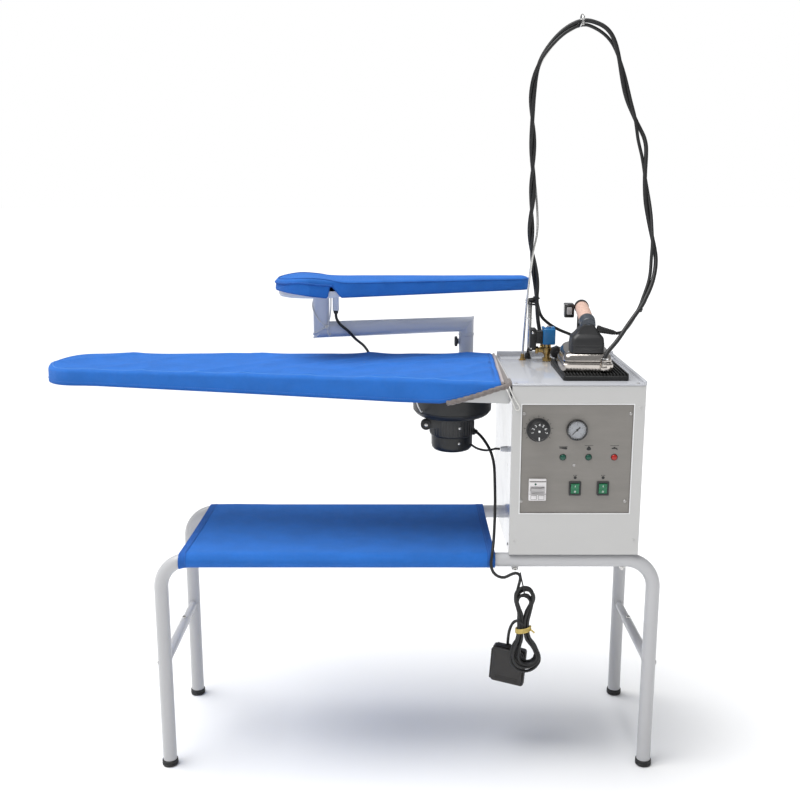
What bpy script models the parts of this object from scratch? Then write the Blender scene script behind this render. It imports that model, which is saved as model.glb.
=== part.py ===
"""Steam ironing station: stand, boiler cabinet, iron, vacuum board, sleeve board, hose mast and pedal.

Places are metres from the stand's centre line (x), the front frame's plane (y, back is positive) and
the floor (z).
"""

import math

import bmesh
import bpy
from mathutils import Matrix, Vector

GAP = 0.0003  # clearance between touching solids

# Where the stand's centre line and front frame lie from the middle of the whole object's footprint
STATION_X = 0.126
STATION_Y = -0.19085

# Stand
STAND_WIDTH = 1.05
STAND_DEPTH = 0.32
TUBE_R = 0.015
BAR_Z = 0.481
BEND_R = 0.062
FOOT_HEIGHT = 0.014
RAIL_Z = 0.245
RAIL_R = 0.011
SPIGOT_R = 0.0092
SOCKET_LENGTH = 0.226
SHELF_LEFT, SHELF_RIGHT = -0.462, 0.186
CLOTH = 0.002

# Cabinet
CAB_LEFT, CAB_RIGHT = 0.214, 0.486
CAB_FRONT, CAB_BACK = -0.016, 0.330
CAB_BOTTOM, CAB_TOP = 0.4975, 0.8645
SHEET = 0.002
FRONT_DEPTH = 0.005
PANEL_LEFT, PANEL_RIGHT = 0.2345, 0.4625
PANEL_BOTTOM, PANEL_TOP = 0.5895, 0.8210
PANEL_FACE = CAB_FRONT + 0.0015
PANEL_SHEET = 0.0012
DIAL = (0.269, 0.768)
GAUGE = (0.348, 0.768)
GREEN_LAMPS = ((0.321, 0.710), (0.374, 0.710))
RED_LAMP = (0.427, 0.710)
SWITCHES = {"left": (0.348, 0.643), "right": (0.406, 0.643)}
BREAKER = (0.270, 0.641)
GAUGE_R = 0.0215
SWITCH_W, SWITCH_H = 0.025, 0.030
ROCKER_W, ROCKER_H = 0.0190, 0.0236
ROCKER_TILT = math.radians(8)

# Boiler inside the cabinet
BOILER = (0.350, 0.190, 0.620)
BOILER_R = 0.070
BOILER_HALF = 0.100
BOILER_WALL = 0.003
PORT_R = 0.022

# Steam valve on the cabinet's top
VALVE = (0.320, 0.250)
KNOB_X, KNOB_Z = 0.338, 0.889

# Iron: its own frame starts under the middle of the sole's back edge
MAT_MIN, MAT_MAX = (0.322, 0.014), (0.457, 0.208)
MAT_HEIGHT = 0.0142
IRON_PLACE = (0.3745, 0.0355)
IRON_TURN = math.radians(-4)
SOLE_W, SOLE_L, SOLE_H = 0.112, 0.198, 0.020
COVER_INSET, COVER_H = 0.007, 0.0175
GRIP_START, GRIP_END = Vector((0, 0.052, 0.0995)), Vector((0, 0.160, 0.1145))
GRIP_R = 0.0145

# Vacuum board
BOARD_TOP, BOARD_BOTTOM = 0.868, 0.828
PAN_BOTTOM, PAN_TOP = 0.8205, 0.852
BOARD_RIGHT = 0.2105
BOARD_BACK = 0.347
BOARD_FRONT_RIGHT = -0.012
BOARD_FRONT_LEFT = 0.128
BOARD_SHOULDER = -0.690
BOARD_TIP = -0.795
SKIRT = 0.004
FAN = (0.100, 0.150)
FAN_R = 0.088
FAN_HEIGHT = 0.054
MOTOR_R = 0.049
MOTOR_BOTTOM = 0.690

# Swinging arm: its own frame starts on the post's axis and runs left along -x
POST = (0.145, 0.395)
ARM_R = 0.0175
ARM_TURN = math.radians(15.3)
ARM_LENGTH = 0.354
ARM_Z = 0.929
ARM_SEAM = 0.902
POST_BOTTOM = 0.800

# Sleeve board: its own frame starts on the arm's left upright and runs right along x
SLEEVE_TURN = math.radians(-6.6)
TRAY_BOTTOM = 1.0065
TRAY_TOP = 1.025
SLEEVE_BOTTOM, SLEEVE_TOP = 1.015, 1.051
SLEEVE_LEFT, SLEEVE_RIGHT = -0.1000, 0.4930
SLEEVE_W_LEFT, SLEEVE_W_RIGHT = 0.166, 0.056
PIPE_X, PIPE_Y = 0.036, -0.012
PIPE_R, PIPE_BOTTOM = 0.0072, 0.965

# Cords: diameters and the points that their routes pass through
HOSE_POST = (0.286, 0.306)
HOSE_D, IRON_CABLE_D, PEDAL_CABLE_D = 0.009, 0.007, 0.0064
SLEEVE_CABLE_D, FAN_CABLE_D, VALVE_CABLE_D = 0.0064, 0.005, 0.0044
STRAND = 0.0055  # half the distance between the two strands of the bundle
BUNDLE = [
    (0.299, 0.292, 0.995), (0.295, 0.284, 1.040), (0.287, 0.270, 1.080), (0.279, 0.257, 1.120),
    (0.276, 0.250, 1.180), (0.277, 0.250, 1.245), (0.275, 0.250, 1.354), (0.2715, 0.250, 1.450),
    (0.286, 0.250, 1.517), (0.327, 0.250, 1.571), (0.373, 0.250, 1.596), (0.411, 0.245, 1.586),
    (0.436, 0.240, 1.562), (0.453, 0.235, 1.520), (0.472, 0.225, 1.444), (0.489, 0.218, 1.396),
    (0.506, 0.206, 1.338), (0.510, 0.190, 1.271), (0.513, 0.175, 1.227), (0.518, 0.155, 1.177),
    (0.522, 0.130, 1.116), (0.513, 0.105, 1.062), (0.486, 0.080, 1.004),
]
HOSE_START = [
    (0.311, 0.2725, 0.9002), (0.3107, 0.2733, 0.913), (0.305, 0.2810, 0.935), (0.301, 0.2845, 0.962),
]
HOSE_END = [(0.459, 0.060, 0.974), (0.436, 0.047, 0.944), (0.4125, 0.0325, 0.920), (0.4062, 0.0289, 0.9052)]
CABLE_START = [
    (0.425, 0.296, 0.8790), (0.425, 0.296, 0.889), (0.407, 0.295, 0.906), (0.379, 0.294, 0.919),
    (0.350, 0.294, 0.931), (0.326, 0.295, 0.946), (0.309, 0.296, 0.965),
]
CABLE_END = [(0.473, 0.079, 0.983), (0.460, 0.073, 0.966), (0.4485, 0.066, 0.958), (0.4355, 0.0610, 0.9565)]
MAST = [
    (0.266, 0.264, 0.8700), (0.268, 0.258, 0.930), (0.2705, 0.249, 0.990), (0.2735, 0.238, 1.046),
    (0.2790, 0.232, 1.105), (0.2880, 0.238, 1.150), (0.2900, 0.252, 1.190), (0.2870, 0.266, 1.240),
    (0.2800, 0.271, 1.300), (0.2760, 0.271, 1.380), (0.2750, 0.270, 1.450), (0.2890, 0.269, 1.513),
    (0.3280, 0.268, 1.566), (0.3700, 0.2655, 1.5925),
]
PEDAL_CABLE = [
    (0.1500, 0.139, 0.729), (0.166, 0.121, 0.716), (0.181, 0.100, 0.694), (0.188, 0.080, 0.668),
    (0.189, 0.060, 0.630), (0.188, 0.034, 0.580), (0.184, 0.006, 0.526), (0.179, -0.017, 0.500),
    (0.1765, -0.0235, 0.478), (0.182, -0.0235, 0.461), (0.193, -0.0225, 0.4515), (0.206, -0.0210, 0.4490),
    (0.218, -0.019, 0.4540), (0.229, -0.017, 0.4570), (0.2375, -0.0145, 0.4525), (0.2400, -0.0130, 0.4425),
]
PEDAL_LEAD = [
    (0.2420, -0.0160, 0.345), (0.2340, -0.0180, 0.349), (0.2270, -0.0110, 0.341), (0.2222, 0.0020, 0.321),
    (0.2210, 0.0160, 0.298), (0.2218, 0.0300, 0.279), (0.2221, 0.0346, 0.2690),
]
SLEEVE_CABLE = [
    (-0.1590, 0.2952, 0.9635), (-0.1582, 0.2930, 0.951), (-0.1500, 0.2875, 0.939), (-0.1340, 0.2890, 0.925),
    (-0.1160, 0.3080, 0.904), (-0.1000, 0.3420, 0.882), (-0.0880, 0.3640, 0.860), (-0.0750, 0.3780, 0.820),
    (-0.0500, 0.3850, 0.780), (-0.0150, 0.3880, 0.765), (0.0150, 0.3760, 0.760), (0.0330, 0.3480, 0.770),
    (0.0400, 0.3280, 0.790), (0.0400, 0.3250, 0.8065),
]
FAN_CABLE = [
    (0.1425, 0.131, 0.698), (0.156, 0.133, 0.689), (0.174, 0.125, 0.687), (0.187, 0.100, 0.696),
    (0.1905, 0.0760, 0.7040), (0.1992, 0.0702, 0.705),
]
VALVE_CABLE = [
    (0.2900, 0.254, 0.9000), (0.2885, 0.256, 0.8920), (0.2850, 0.265, 0.8860), (0.2810, 0.278, 0.8885),
    (0.2800, 0.283, 0.8850), (0.2800, 0.283, 0.8784),
]

# Pedal, hank and glands
PEDAL = (0.2225, 0.0270, 0.2225)
PEDAL_LEAN, PEDAL_YAW = math.radians(4), math.radians(-20)
PEDAL_W, PEDAL_D, PEDAL_H = 0.074, 0.014, 0.086
GLAND_R, GLAND_H = 0.0065, 0.0135

# Colours: red, green, blue, roughness, metallic
WHITE = (0.78, 0.78, 0.77, 0.35, 0.0)
GREY_PAINT = (0.55, 0.54, 0.53, 0.5, 0.0)
PANEL_GREY = (0.21, 0.20, 0.18, 0.5, 0.3)
BLUE_CLOTH = (0.04, 0.17, 0.55, 0.85, 0.0)
BLACK = (0.02, 0.02, 0.02, 0.45, 0.0)
RUBBER = (0.015, 0.015, 0.015, 0.7, 0.0)
STEEL = (0.62, 0.60, 0.57, 0.3, 1.0)
BRASS = (0.60, 0.42, 0.18, 0.35, 1.0)
CORK = (0.62, 0.40, 0.30, 0.8, 0.0)
COIL_BLUE = (0.03, 0.22, 0.45, 0.4, 0.0)
GREEN = (0.03, 0.35, 0.12, 0.3, 0.0)
RED = (0.45, 0.01, 0.01, 0.3, 0.0)
LABEL_WHITE = (0.80, 0.80, 0.78, 0.5, 0.0)

BACKWARD = (math.radians(-90), 0, 0)  # turns a shape's own z to the cabinet's depth, pointing back


# ---------------------------------------------------------------- helpers

def clear_scene():
    for obj in list(bpy.data.objects):
        bpy.data.objects.remove(obj)


def new_collection(name):
    collection = bpy.data.collections.new(name)
    bpy.context.scene.collection.children.link(collection)
    return collection


def material(name, look):
    found = bpy.data.materials.get(name) or bpy.data.materials.new(name)
    found.use_nodes = True
    shader = found.node_tree.nodes["Principled BSDF"]
    shader.inputs["Base Color"].default_value = (*look[:3], 1)
    shader.inputs["Roughness"].default_value = look[3]
    shader.inputs["Metallic"].default_value = look[4]
    return found


def empty(name, at, turn=0.0, holder=None):
    obj = bpy.data.objects.new(name, None)
    PARTS.objects.link(obj)
    obj.parent = holder
    obj.location = at
    obj.rotation_euler = (0, 0, turn)
    return obj


def place(name, data, look, at=(0, 0, 0), turn=(0, 0, 0), holder=None):
    obj = bpy.data.objects.new(name, data)
    PARTS.objects.link(obj)
    obj.parent = holder or STATION
    obj.location = at
    obj.rotation_euler = turn
    data.materials.append(material(name + "_material", look))
    return obj


def mesh_from(name, shapes):
    """A mesh of separate primitives, each written by a function that takes the bmesh."""
    bm = bmesh.new()
    for shape in shapes:
        shape(bm)
    mesh = bpy.data.meshes.new(name)
    bm.to_mesh(mesh)
    bm.free()
    return mesh


def box_shape(low, high):
    low, high = Vector(low), Vector(high)
    size = high - low
    matrix = Matrix.Translation((low + high) / 2) @ Matrix.Diagonal((*size, 1))
    return lambda bm: bmesh.ops.create_cube(bm, size=1, matrix=matrix)


def rod_shape(start, end, radius, sides=24, end_radius=None):
    start, end = Vector(start), Vector(end)
    along = end - start
    matrix = Matrix.Translation((start + end) / 2) @ along.to_track_quat("Z", "Y").to_matrix().to_4x4()
    last = radius if end_radius is None else end_radius
    return lambda bm: bmesh.ops.create_cone(
        bm, cap_ends=True, segments=sides, radius1=radius, radius2=last, depth=along.length, matrix=matrix)


def block(name, look, low, high, bevel=0.0, holder=None):
    obj = place(name, mesh_from(name, [box_shape(low, high)]), look, holder=holder)
    return rounded(obj, bevel) if bevel else obj


def rounded(obj, width, segments=1):
    bevel = obj.modifiers.new("edges", "BEVEL")
    bevel.width = width
    bevel.segments = segments
    bevel.limit_method = "ANGLE"
    bevel.angle_limit = math.radians(40)
    return obj


def turned(name, look, profile, at, turn=(0, 0, 0), steps=24, holder=None, closed=False):
    """Spins a profile of (radius, height) points, which runs down its outer side."""
    mesh = bpy.data.meshes.new(name)
    last = len(profile) - 1
    edges = [(i, i + 1) for i in range(last)] + ([(last, 0)] if closed else [])
    mesh.from_pydata([(r, 0, h) for r, h in profile], edges, [])
    obj = place(name, mesh, look, at, turn, holder)
    screw = obj.modifiers.new("turn", "SCREW")
    screw.steps = screw.render_steps = steps
    screw.use_merge_vertices = True
    screw.merge_threshold = 0.00001
    return obj


def smooth(route, step):
    """Evenly spread points on a smooth curve through the route's own points."""
    knots = [Vector(p) for p in route]
    knots = [2 * knots[0] - knots[1], *knots, 2 * knots[-1] - knots[-2]]
    points = []
    for a, b, c, d in zip(knots, knots[1:], knots[2:], knots[3:]):
        count = max(1, round((c - b).length / step))
        for i in range(count):
            t = i / count
            points.append(0.5 * (2 * b + (c - a) * t + (2 * a - 5 * b + 4 * c - d) * t * t
                                 + (3 * b - a - 3 * c + d) * t * t * t))
    return points + [knots[-2]]


def tube(name, look, points, radius, resolution=2, holder=None):
    curve = bpy.data.curves.new(name, "CURVE")
    curve.dimensions = "3D"
    curve.bevel_depth = radius
    curve.bevel_resolution = resolution
    curve.use_fill_caps = True
    curve.resolution_u = 1
    spline = curve.splines.new("POLY")
    spline.points.add(len(points) - 1)
    for point, co in zip(spline.points, points):
        point.co = (*co, 1)
    return place(name, curve, look, holder=holder)


def plate(name, look, outline, bottom, top, turn=(0, 0, 0), at=(0, 0, 0), holder=None):
    """A flat outline in its own xy plane, filled and given its thickness from bottom to top."""
    curve = bpy.data.curves.new(name, "CURVE")
    curve.dimensions = "2D"
    curve.fill_mode = "BOTH"
    curve.extrude = (top - bottom) / 2
    spline = curve.splines.new("POLY")
    spline.points.add(len(outline) - 1)
    for point, (x, y) in zip(spline.points, outline):
        point.co = (x, y, 0, 1)
    spline.use_cyclic_u = True
    lift = Matrix.Rotation(turn[0], 3, "X") @ Vector((0, 0, (top + bottom) / 2))
    return place(name, curve, look, Vector(at) + lift, turn, holder)


def as_mesh(obj):
    """Swaps a curve object for a mesh of the same shape, which Booleans can use."""
    bpy.context.view_layer.update()
    graph = bpy.context.evaluated_depsgraph_get()
    mesh = bpy.data.meshes.new_from_object(obj.evaluated_get(graph))
    bm = bmesh.new()
    bm.from_mesh(mesh)
    bmesh.ops.remove_doubles(bm, verts=bm.verts, dist=0.00001)
    bm.to_mesh(mesh)
    bm.free()
    name, world, holder = obj.name, obj.matrix_world.copy(), obj.parent
    bpy.data.objects.remove(obj)
    swapped = bpy.data.objects.new(name, mesh)
    PARTS.objects.link(swapped)
    swapped.parent = holder
    swapped.matrix_world = world
    return swapped


def combine(obj, operation, shapes=(), tool=None, holder=None):
    """Adds shapes to an object, or cuts them from it, with a Boolean."""
    if tool is None:
        tool = bpy.data.objects.new(obj.name + "_tool", mesh_from(obj.name + "_tool", shapes))
        CUTTERS.objects.link(tool)
        tool.parent = holder or STATION
    else:
        PARTS.objects.unlink(tool)
        CUTTERS.objects.link(tool)
        tool.name = obj.name + "_tool"
    tool.hide_render = True
    tool.display_type = "WIRE"
    boolean = obj.modifiers.new(operation.lower(), "BOOLEAN")
    boolean.operation = operation
    boolean.solver = "EXACT"
    boolean.object = tool
    return obj


def arc(centre, radius, first, last, count):
    """Points on an arc in a plane, from first to last in degrees."""
    angles = [math.radians(first + (last - first) * i / count) for i in range(count + 1)]
    return [(centre[0] + radius * math.cos(a), centre[1] + radius * math.sin(a)) for a in angles]


# ---------------------------------------------------------------- stand

def frame_path(depth):
    half = STAND_WIDTH / 2
    left = arc((BEND_R - half, BAR_Z - BEND_R), BEND_R, 180, 90, 6)
    right = arc((half - BEND_R, BAR_Z - BEND_R), BEND_R, 90, 0, 6)
    foot = FOOT_HEIGHT + GAP
    flat = [(-half, foot), *left, *right, (half, foot)]
    return [(x, depth, z) for x, z in flat]


def build_stand():
    half = STAND_WIDTH / 2
    front = as_mesh(tube("front_frame", GREY_PAINT, frame_path(0), TUBE_R, 4))
    sockets = [rod_shape((x, 0, RAIL_Z), (x, SOCKET_LENGTH, RAIL_Z), RAIL_R, 20) for x in (-half, half)]
    combine(front, "UNION", sockets)
    bore_r, inside, outside = SPIGOT_R + 0.0004, SOCKET_LENGTH - 0.056, SOCKET_LENGTH + 0.01
    bores = [rod_shape((x, inside, RAIL_Z), (x, outside, RAIL_Z), bore_r, 20) for x in (-half, half)]
    combine(front, "DIFFERENCE", bores)
    combine(front, "UNION", [box_shape((0.222, -0.0085, 0.4608), (0.236, 0.0105, BAR_Z))])
    back = as_mesh(tube("rear_frame", GREY_PAINT, frame_path(STAND_DEPTH), TUBE_R, 4))
    spigots = [rod_shape((x, SOCKET_LENGTH - 0.046, RAIL_Z), (x, STAND_DEPTH, RAIL_Z), SPIGOT_R, 20)
               for x in (-half, half)]
    combine(back, "UNION", spigots)
    for side, x in (("left", -half), ("right", half)):
        for end, y in (("front", 0), ("rear", STAND_DEPTH)):
            foot = rod_shape((x, y, 0), (x, y, FOOT_HEIGHT), TUBE_R + 0.0025, 20)
            place(f"foot_{end}_{side}", mesh_from("foot", [foot]), RUBBER)


def build_shelf():
    """One sheet over both bars, each edge wrapped under its bar."""
    inner = TUBE_R + GAP
    outer = inner + CLOTH
    front, back = (0, BAR_Z), (STAND_DEPTH, BAR_Z)
    outside = arc(back, outer, -60, 90, 8) + arc(front, outer, 90, 240, 8)
    inside = arc(front, inner, 240, 90, 8) + arc(back, inner, 90, -60, 8)
    outline = [(y, z) for y, z in outside + inside]
    curve = plate("shelf_cloth", BLUE_CLOTH, outline, SHELF_LEFT, SHELF_RIGHT)
    curve.rotation_euler = (math.radians(90), 0, math.radians(90))
    curve.location = ((SHELF_LEFT + SHELF_RIGHT) / 2, 0, 0)


# ---------------------------------------------------------------- cabinet

def build_cabinet():
    depth_front = CAB_FRONT + FRONT_DEPTH + GAP
    depth_back = CAB_BACK - SHEET - GAP
    lid_bottom = CAB_TOP - 0.004
    wall_top = lid_bottom - GAP
    shell = block("cabinet_shell", WHITE, (CAB_LEFT, depth_front, CAB_BOTTOM),
                  (CAB_RIGHT, depth_back, wall_top))
    hollow = box_shape((CAB_LEFT + SHEET, depth_front - 0.01, CAB_BOTTOM + SHEET),
                       (CAB_RIGHT - SHEET, depth_back + 0.01, wall_top + 0.01))
    combine(shell, "DIFFERENCE", [hollow])

    front = block("cabinet_front", GREY_PAINT, (CAB_LEFT, CAB_FRONT, CAB_BOTTOM),
                  (CAB_RIGHT, CAB_FRONT + FRONT_DEPTH, wall_top), bevel=0.0012)
    pocket = box_shape((PANEL_LEFT - 0.0006, CAB_FRONT - 0.01, PANEL_BOTTOM - 0.0006),
                       (PANEL_RIGHT + 0.0006, PANEL_FACE + PANEL_SHEET + GAP, PANEL_TOP + 0.0006))
    combine(front, "DIFFERENCE", [pocket])
    ledge = 0.008
    window = mesh_from("window", [box_shape((PANEL_LEFT + ledge, CAB_FRONT - 0.01, PANEL_BOTTOM + ledge),
                                            (PANEL_RIGHT - ledge, CAB_FRONT + 0.02, PANEL_TOP - ledge))])
    combine(front, "DIFFERENCE", tool=place("window", window, GREY_PAINT))

    block("cabinet_back", WHITE, (CAB_LEFT, CAB_BACK - SHEET, CAB_BOTTOM), (CAB_RIGHT, CAB_BACK, wall_top))

    lid = block("cabinet_top", WHITE, (CAB_LEFT - 0.001, CAB_FRONT - 0.0015, lid_bottom),
                (CAB_RIGHT + 0.001, CAB_BACK + 0.001, CAB_TOP))
    combine(lid, "UNION", [box_shape((CAB_LEFT - 0.001, CAB_BACK - 0.006, lid_bottom + 0.001),
                                     (CAB_RIGHT + 0.001, CAB_BACK + 0.001, CAB_TOP + 0.010))])
    rim = mesh_from("rim", [box_shape((CAB_RIGHT - 0.006, CAB_FRONT - 0.0015, lid_bottom + 0.001),
                                      (CAB_RIGHT + 0.001, CAB_BACK + 0.001, CAB_TOP + 0.006))])
    combine(lid, "UNION", tool=place("rim", rim, WHITE))
    combine_gland(lid, (0.280, 0.2830, CAB_TOP), (0, 0, 1))
    combine_gland(shell, (CAB_LEFT, 0.070, 0.705), (-1, 0, 0))
    gland = gland_shape((0.425, 0.296, CAB_TOP + GAP), (0, 0, 1), 0)
    place("iron_gland", mesh_from("iron_gland", [gland]), BLACK)


def gland_shape(at, way, sunk=0.001):
    """A short cone that a cable leaves a wall through, along way."""
    at, way = Vector(at), Vector(way)
    return rod_shape(at - way * sunk, at + way * GLAND_H, GLAND_R, 16, GLAND_R - 0.0015)


def combine_gland(wall, at, way):
    name = wall.name + "_gland"
    combine(wall, "UNION", tool=place(name, mesh_from(name, [gland_shape(at, way)]), BLACK))


def build_panel():
    """The recessed panel, and the cut-outs that its fittings pass through."""
    panel = block("control_panel", PANEL_GREY, (PANEL_LEFT, PANEL_FACE, PANEL_BOTTOM),
                  (PANEL_RIGHT, PANEL_FACE + PANEL_SHEET, PANEL_TOP))
    before, behind = PANEL_FACE - 0.01, PANEL_FACE + 0.01
    holes = [rod_shape((x, before, z), (x, behind, z), radius, 20) for (x, z), radius in
             [(DIAL, 0.0035), (GAUGE, 0.0190), (RED_LAMP, 0.0053)] + [(lamp, 0.0053) for lamp in GREEN_LAMPS]]
    half_w, half_h = ROCKER_W / 2 + 0.0006, ROCKER_H / 2 + 0.0006
    holes += [box_shape((x - half_w, before, z - half_h), (x + half_w, behind, z + half_h))
              for x, z in SWITCHES.values()]
    combine(panel, "DIFFERENCE", holes)


def build_dial_and_gauge():
    face = PANEL_FACE - GAP
    dial = [(0, 0.016), (0.0185, 0.016), (0.0200, 0.0145), (0.0205, 0.0035), (0.0245, 0.0030), (0.0245, 0),
            (0.003, 0), (0.003, -0.012), (0, -0.012)]
    turned("thermostat_dial", BLACK, dial, (DIAL[0], face, DIAL[1]), (math.radians(90), 0, 0), 32)
    case = [(GAUGE_R - 0.0030, 0.0070), (GAUGE_R - 0.0008, 0.0070), (GAUGE_R, 0.0060), (GAUGE_R, 0),
            (0.0185, 0), (0.0185, -0.024), (0, -0.024), (0, 0.0015), (GAUGE_R - 0.0030, 0.0015)]
    turned("gauge_case", BLACK, case, (GAUGE[0], face, GAUGE[1]), (math.radians(90), 0, 0), 32, closed=True)
    tail, tip, hub = 0.007, 0.0145, 0.0022
    outline = [(-0.0006, -tail), (0.0006, -tail), (0.0009, -0.002), *arc((0, 0), hub, -60, 60, 4),
               (0.0004, tip), (-0.0004, tip), *arc((0, 0), hub, 120, 240, 4), (-0.0009, -0.002)]
    needle = plate("gauge_needle", BLACK, outline, -0.0004, 0.0004)
    needle.location = (GAUGE[0], face - 0.0030, GAUGE[1])
    needle.rotation_euler = (math.radians(90), math.radians(-135), 0)


def build_lamps():
    face = PANEL_FACE - GAP
    lens = 0.0062
    lamps = (("green_lamp_left", GREEN, GREEN_LAMPS[0]), ("green_lamp_right", GREEN, GREEN_LAMPS[1]),
             ("red_lamp", RED, RED_LAMP))
    for name, look, (x, z) in lamps:
        place(name, mesh_from(name, [rod_shape((x, face, z), (x, face - 0.0035, z), lens, 16, 0.0052)]), look)


def build_switches():
    face = PANEL_FACE - GAP
    deep = 0.0042
    for side, (x, z) in SWITCHES.items():
        bezel = block("switch_bezel_" + side, BLACK, (x - SWITCH_W / 2, face - 0.0025, z - SWITCH_H / 2),
                      (x + SWITCH_W / 2, face, z + SWITCH_H / 2), bevel=0.0006)
        half_w, half_h = ROCKER_W / 2 + 0.0003, ROCKER_H / 2 + 0.0004
        body = mesh_from("switch_body", [box_shape((x - half_w, face - 0.001, z - half_h),
                                                   (x + half_w, face + 0.018, z + half_h))])
        combine(bezel, "UNION", tool=place("switch_body", body, BLACK))
        room_w, room_h = ROCKER_W / 2 - 0.0006, ROCKER_H / 2 - 0.0006
        combine(bezel, "DIFFERENCE", [box_shape((x - room_w, face - 0.01, z - room_h),
                                                (x + room_w, face + deep, z + room_h))])
        half = Vector((room_w - 0.0004, 0.0024, room_h - 0.0008))
        rocker = place("rocker_" + side, mesh_from("rocker", [box_shape(-half, half)]), GREEN,
                       (x, face - 0.0010, z), (ROCKER_TILT, 0, 0))
        rounded(rocker, 0.0006)


def build_breaker():
    face = PANEL_FACE - GAP
    x, z = BREAKER
    body = block("breaker_body", LABEL_WHITE, (x - 0.018, face - 0.0060, z - 0.023),
                 (x + 0.018, face, z + 0.023), bevel=0.0008)
    slot = box_shape((x - 0.0145, face - 0.02, z - 0.0075), (x + 0.0145, face - 0.002, z + 0.0075))
    combine(body, "DIFFERENCE", [slot])
    lever = box_shape((-0.0140, -0.0095, -0.0040), (0.0140, 0, 0.0040))
    toggle = place("breaker_toggle", mesh_from("toggle", [lever]), LABEL_WHITE, (x, face - 0.0036, z),
                   (math.radians(15), 0, 0))
    rounded(toggle, 0.0006)


def build_boiler():
    x, y, z = BOILER
    inner, end = BOILER_R - BOILER_WALL, BOILER_HALF - BOILER_WALL
    tank = [(PORT_R, BOILER_HALF), (BOILER_R - 0.01, BOILER_HALF), (BOILER_R, BOILER_HALF - 0.01),
            (BOILER_R, 0.01 - BOILER_HALF), (BOILER_R - 0.01, -BOILER_HALF), (0, -BOILER_HALF),
            (0, -end), (inner, -end), (inner, end), (PORT_R, end)]
    boiler = turned("boiler_tank", STEEL, tank, (x, y, z), (math.radians(90), 0, 0), 32, closed=True)
    nose = y - BOILER_HALF
    element = place("heating_element", mesh_from("heating_element", [
        rod_shape((x, nose - GAP, z), (x, nose - 0.008, z), 0.030, 24)]), BRASS)
    run = [(x - 0.010, nose - 0.003, z), (x - 0.010, y + 0.060, z)]
    bend = [(x + dx, y + 0.060 + dy, z) for dx, dy in arc((0, 0), 0.010, 150, 30, 4)]
    run_back = [(x + 0.010, y + 0.060, z), (x + 0.010, nose - 0.003, z)]
    loop = tube("loop", STEEL, run + bend + run_back, 0.004, 2)
    combine(element, "UNION", tool=as_mesh(loop))
    top = z + BOILER_R
    relief = [rod_shape((x, y + 0.04, top - 0.0015), (x, y + 0.04, top + 0.012), 0.007, 12),
              rod_shape((x, y + 0.04, top + 0.010), (x, y + 0.04, top + 0.040), 0.010, 12)]
    for number, shape in enumerate(relief):
        name = f"relief_{number}"
        combine(boiler, "UNION", tool=place(name, mesh_from(name, [shape]), BRASS))


# ---------------------------------------------------------------- valve, mast and cords

def build_valve():
    x, y = VALVE
    foot = CAB_TOP + GAP
    profile = [(0, 0.0385), (0.0085, 0.0385), (0.0085, 0.031), (0.0110, 0.030), (0.0110, 0.0175),
               (0.0070, 0.0160), (0.0070, 0.0080), (0.0100, 0.0075), (0.0100, 0), (0, 0)]
    body = turned("valve_body", BRASS, profile, (x, y, foot), steps=16)
    combine(body, "UNION", [rod_shape((x, y, 0.8900), (x - 0.026, y, 0.8900), 0.0065, 12)])
    outlet = (0.311, HOSE_START[0][1])
    arms = [rod_shape((x, y, KNOB_Z), (KNOB_X + 0.0045, y, KNOB_Z), 0.0055, 12),
            rod_shape((KNOB_X, y + 0.002, KNOB_Z), (KNOB_X, y - 0.0175, KNOB_Z), 0.0036, 12),
            rod_shape((outlet[0], y, 0.888), (*outlet, 0.888), 0.0045, 12),
            rod_shape((*outlet, 0.8830), (*outlet, 0.8993), 0.0055, 12)]
    for number, shape in enumerate(arms):
        name = f"valve_arm_{number}"
        combine(body, "UNION", tool=place(name, mesh_from(name, [shape]), BRASS))
    block("valve_coil", COIL_BLUE, (0.3085, y - 0.015, 0.9036), (0.3365, y + 0.0150, 0.9400), bevel=0.002)
    plug = block("valve_plug", BLACK, (0.2790, y - 0.014, 0.8966), (0.3082, y + 0.0140, 0.9400), bevel=0.002)
    lead = tube("valve_lead", RUBBER, smooth(VALVE_CABLE, 0.010), VALVE_CABLE_D / 2)
    combine(plug, "UNION", tool=as_mesh(lead))
    knob = [(0, 0.0130), (0.0095, 0.0130), (0.0118, 0.0110), (0.0122, 0.0020), (0.0105, 0.0), (0, 0)]
    turned("steam_knob", BLACK, knob, (KNOB_X, y - 0.0178, KNOB_Z), (math.radians(90), 0, 0), 12)


def build_mast():
    hook_centre = Vector(BUNDLE[10])
    hook = [hook_centre + Vector((0, 0.0155 * math.cos(a), 0.0155 * math.sin(a)))
            for a in (math.radians(d) for d in range(10, 181, 17))]
    rod = as_mesh(tube("mast_rod", STEEL, smooth(MAST, 0.03) + hook, 0.0025, 2))
    foot = MAST[0]
    low, high = CAB_TOP + GAP, CAB_TOP + 0.0085
    combine(rod, "UNION", [rod_shape((foot[0], foot[1], low), (foot[0], foot[1], high), 0.0055, 6)])
    post = rod_shape((*HOSE_POST, low), (*HOSE_POST, 0.998), 0.0050, 16)
    place("hose_post", mesh_from("hose_post", [post]), STEEL)


def bundle_strand(side):
    """One of the two strands that run side by side up the mast and down to the iron."""
    return [(x, y + side * STRAND, z) for x, y, z in BUNDLE]


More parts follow.
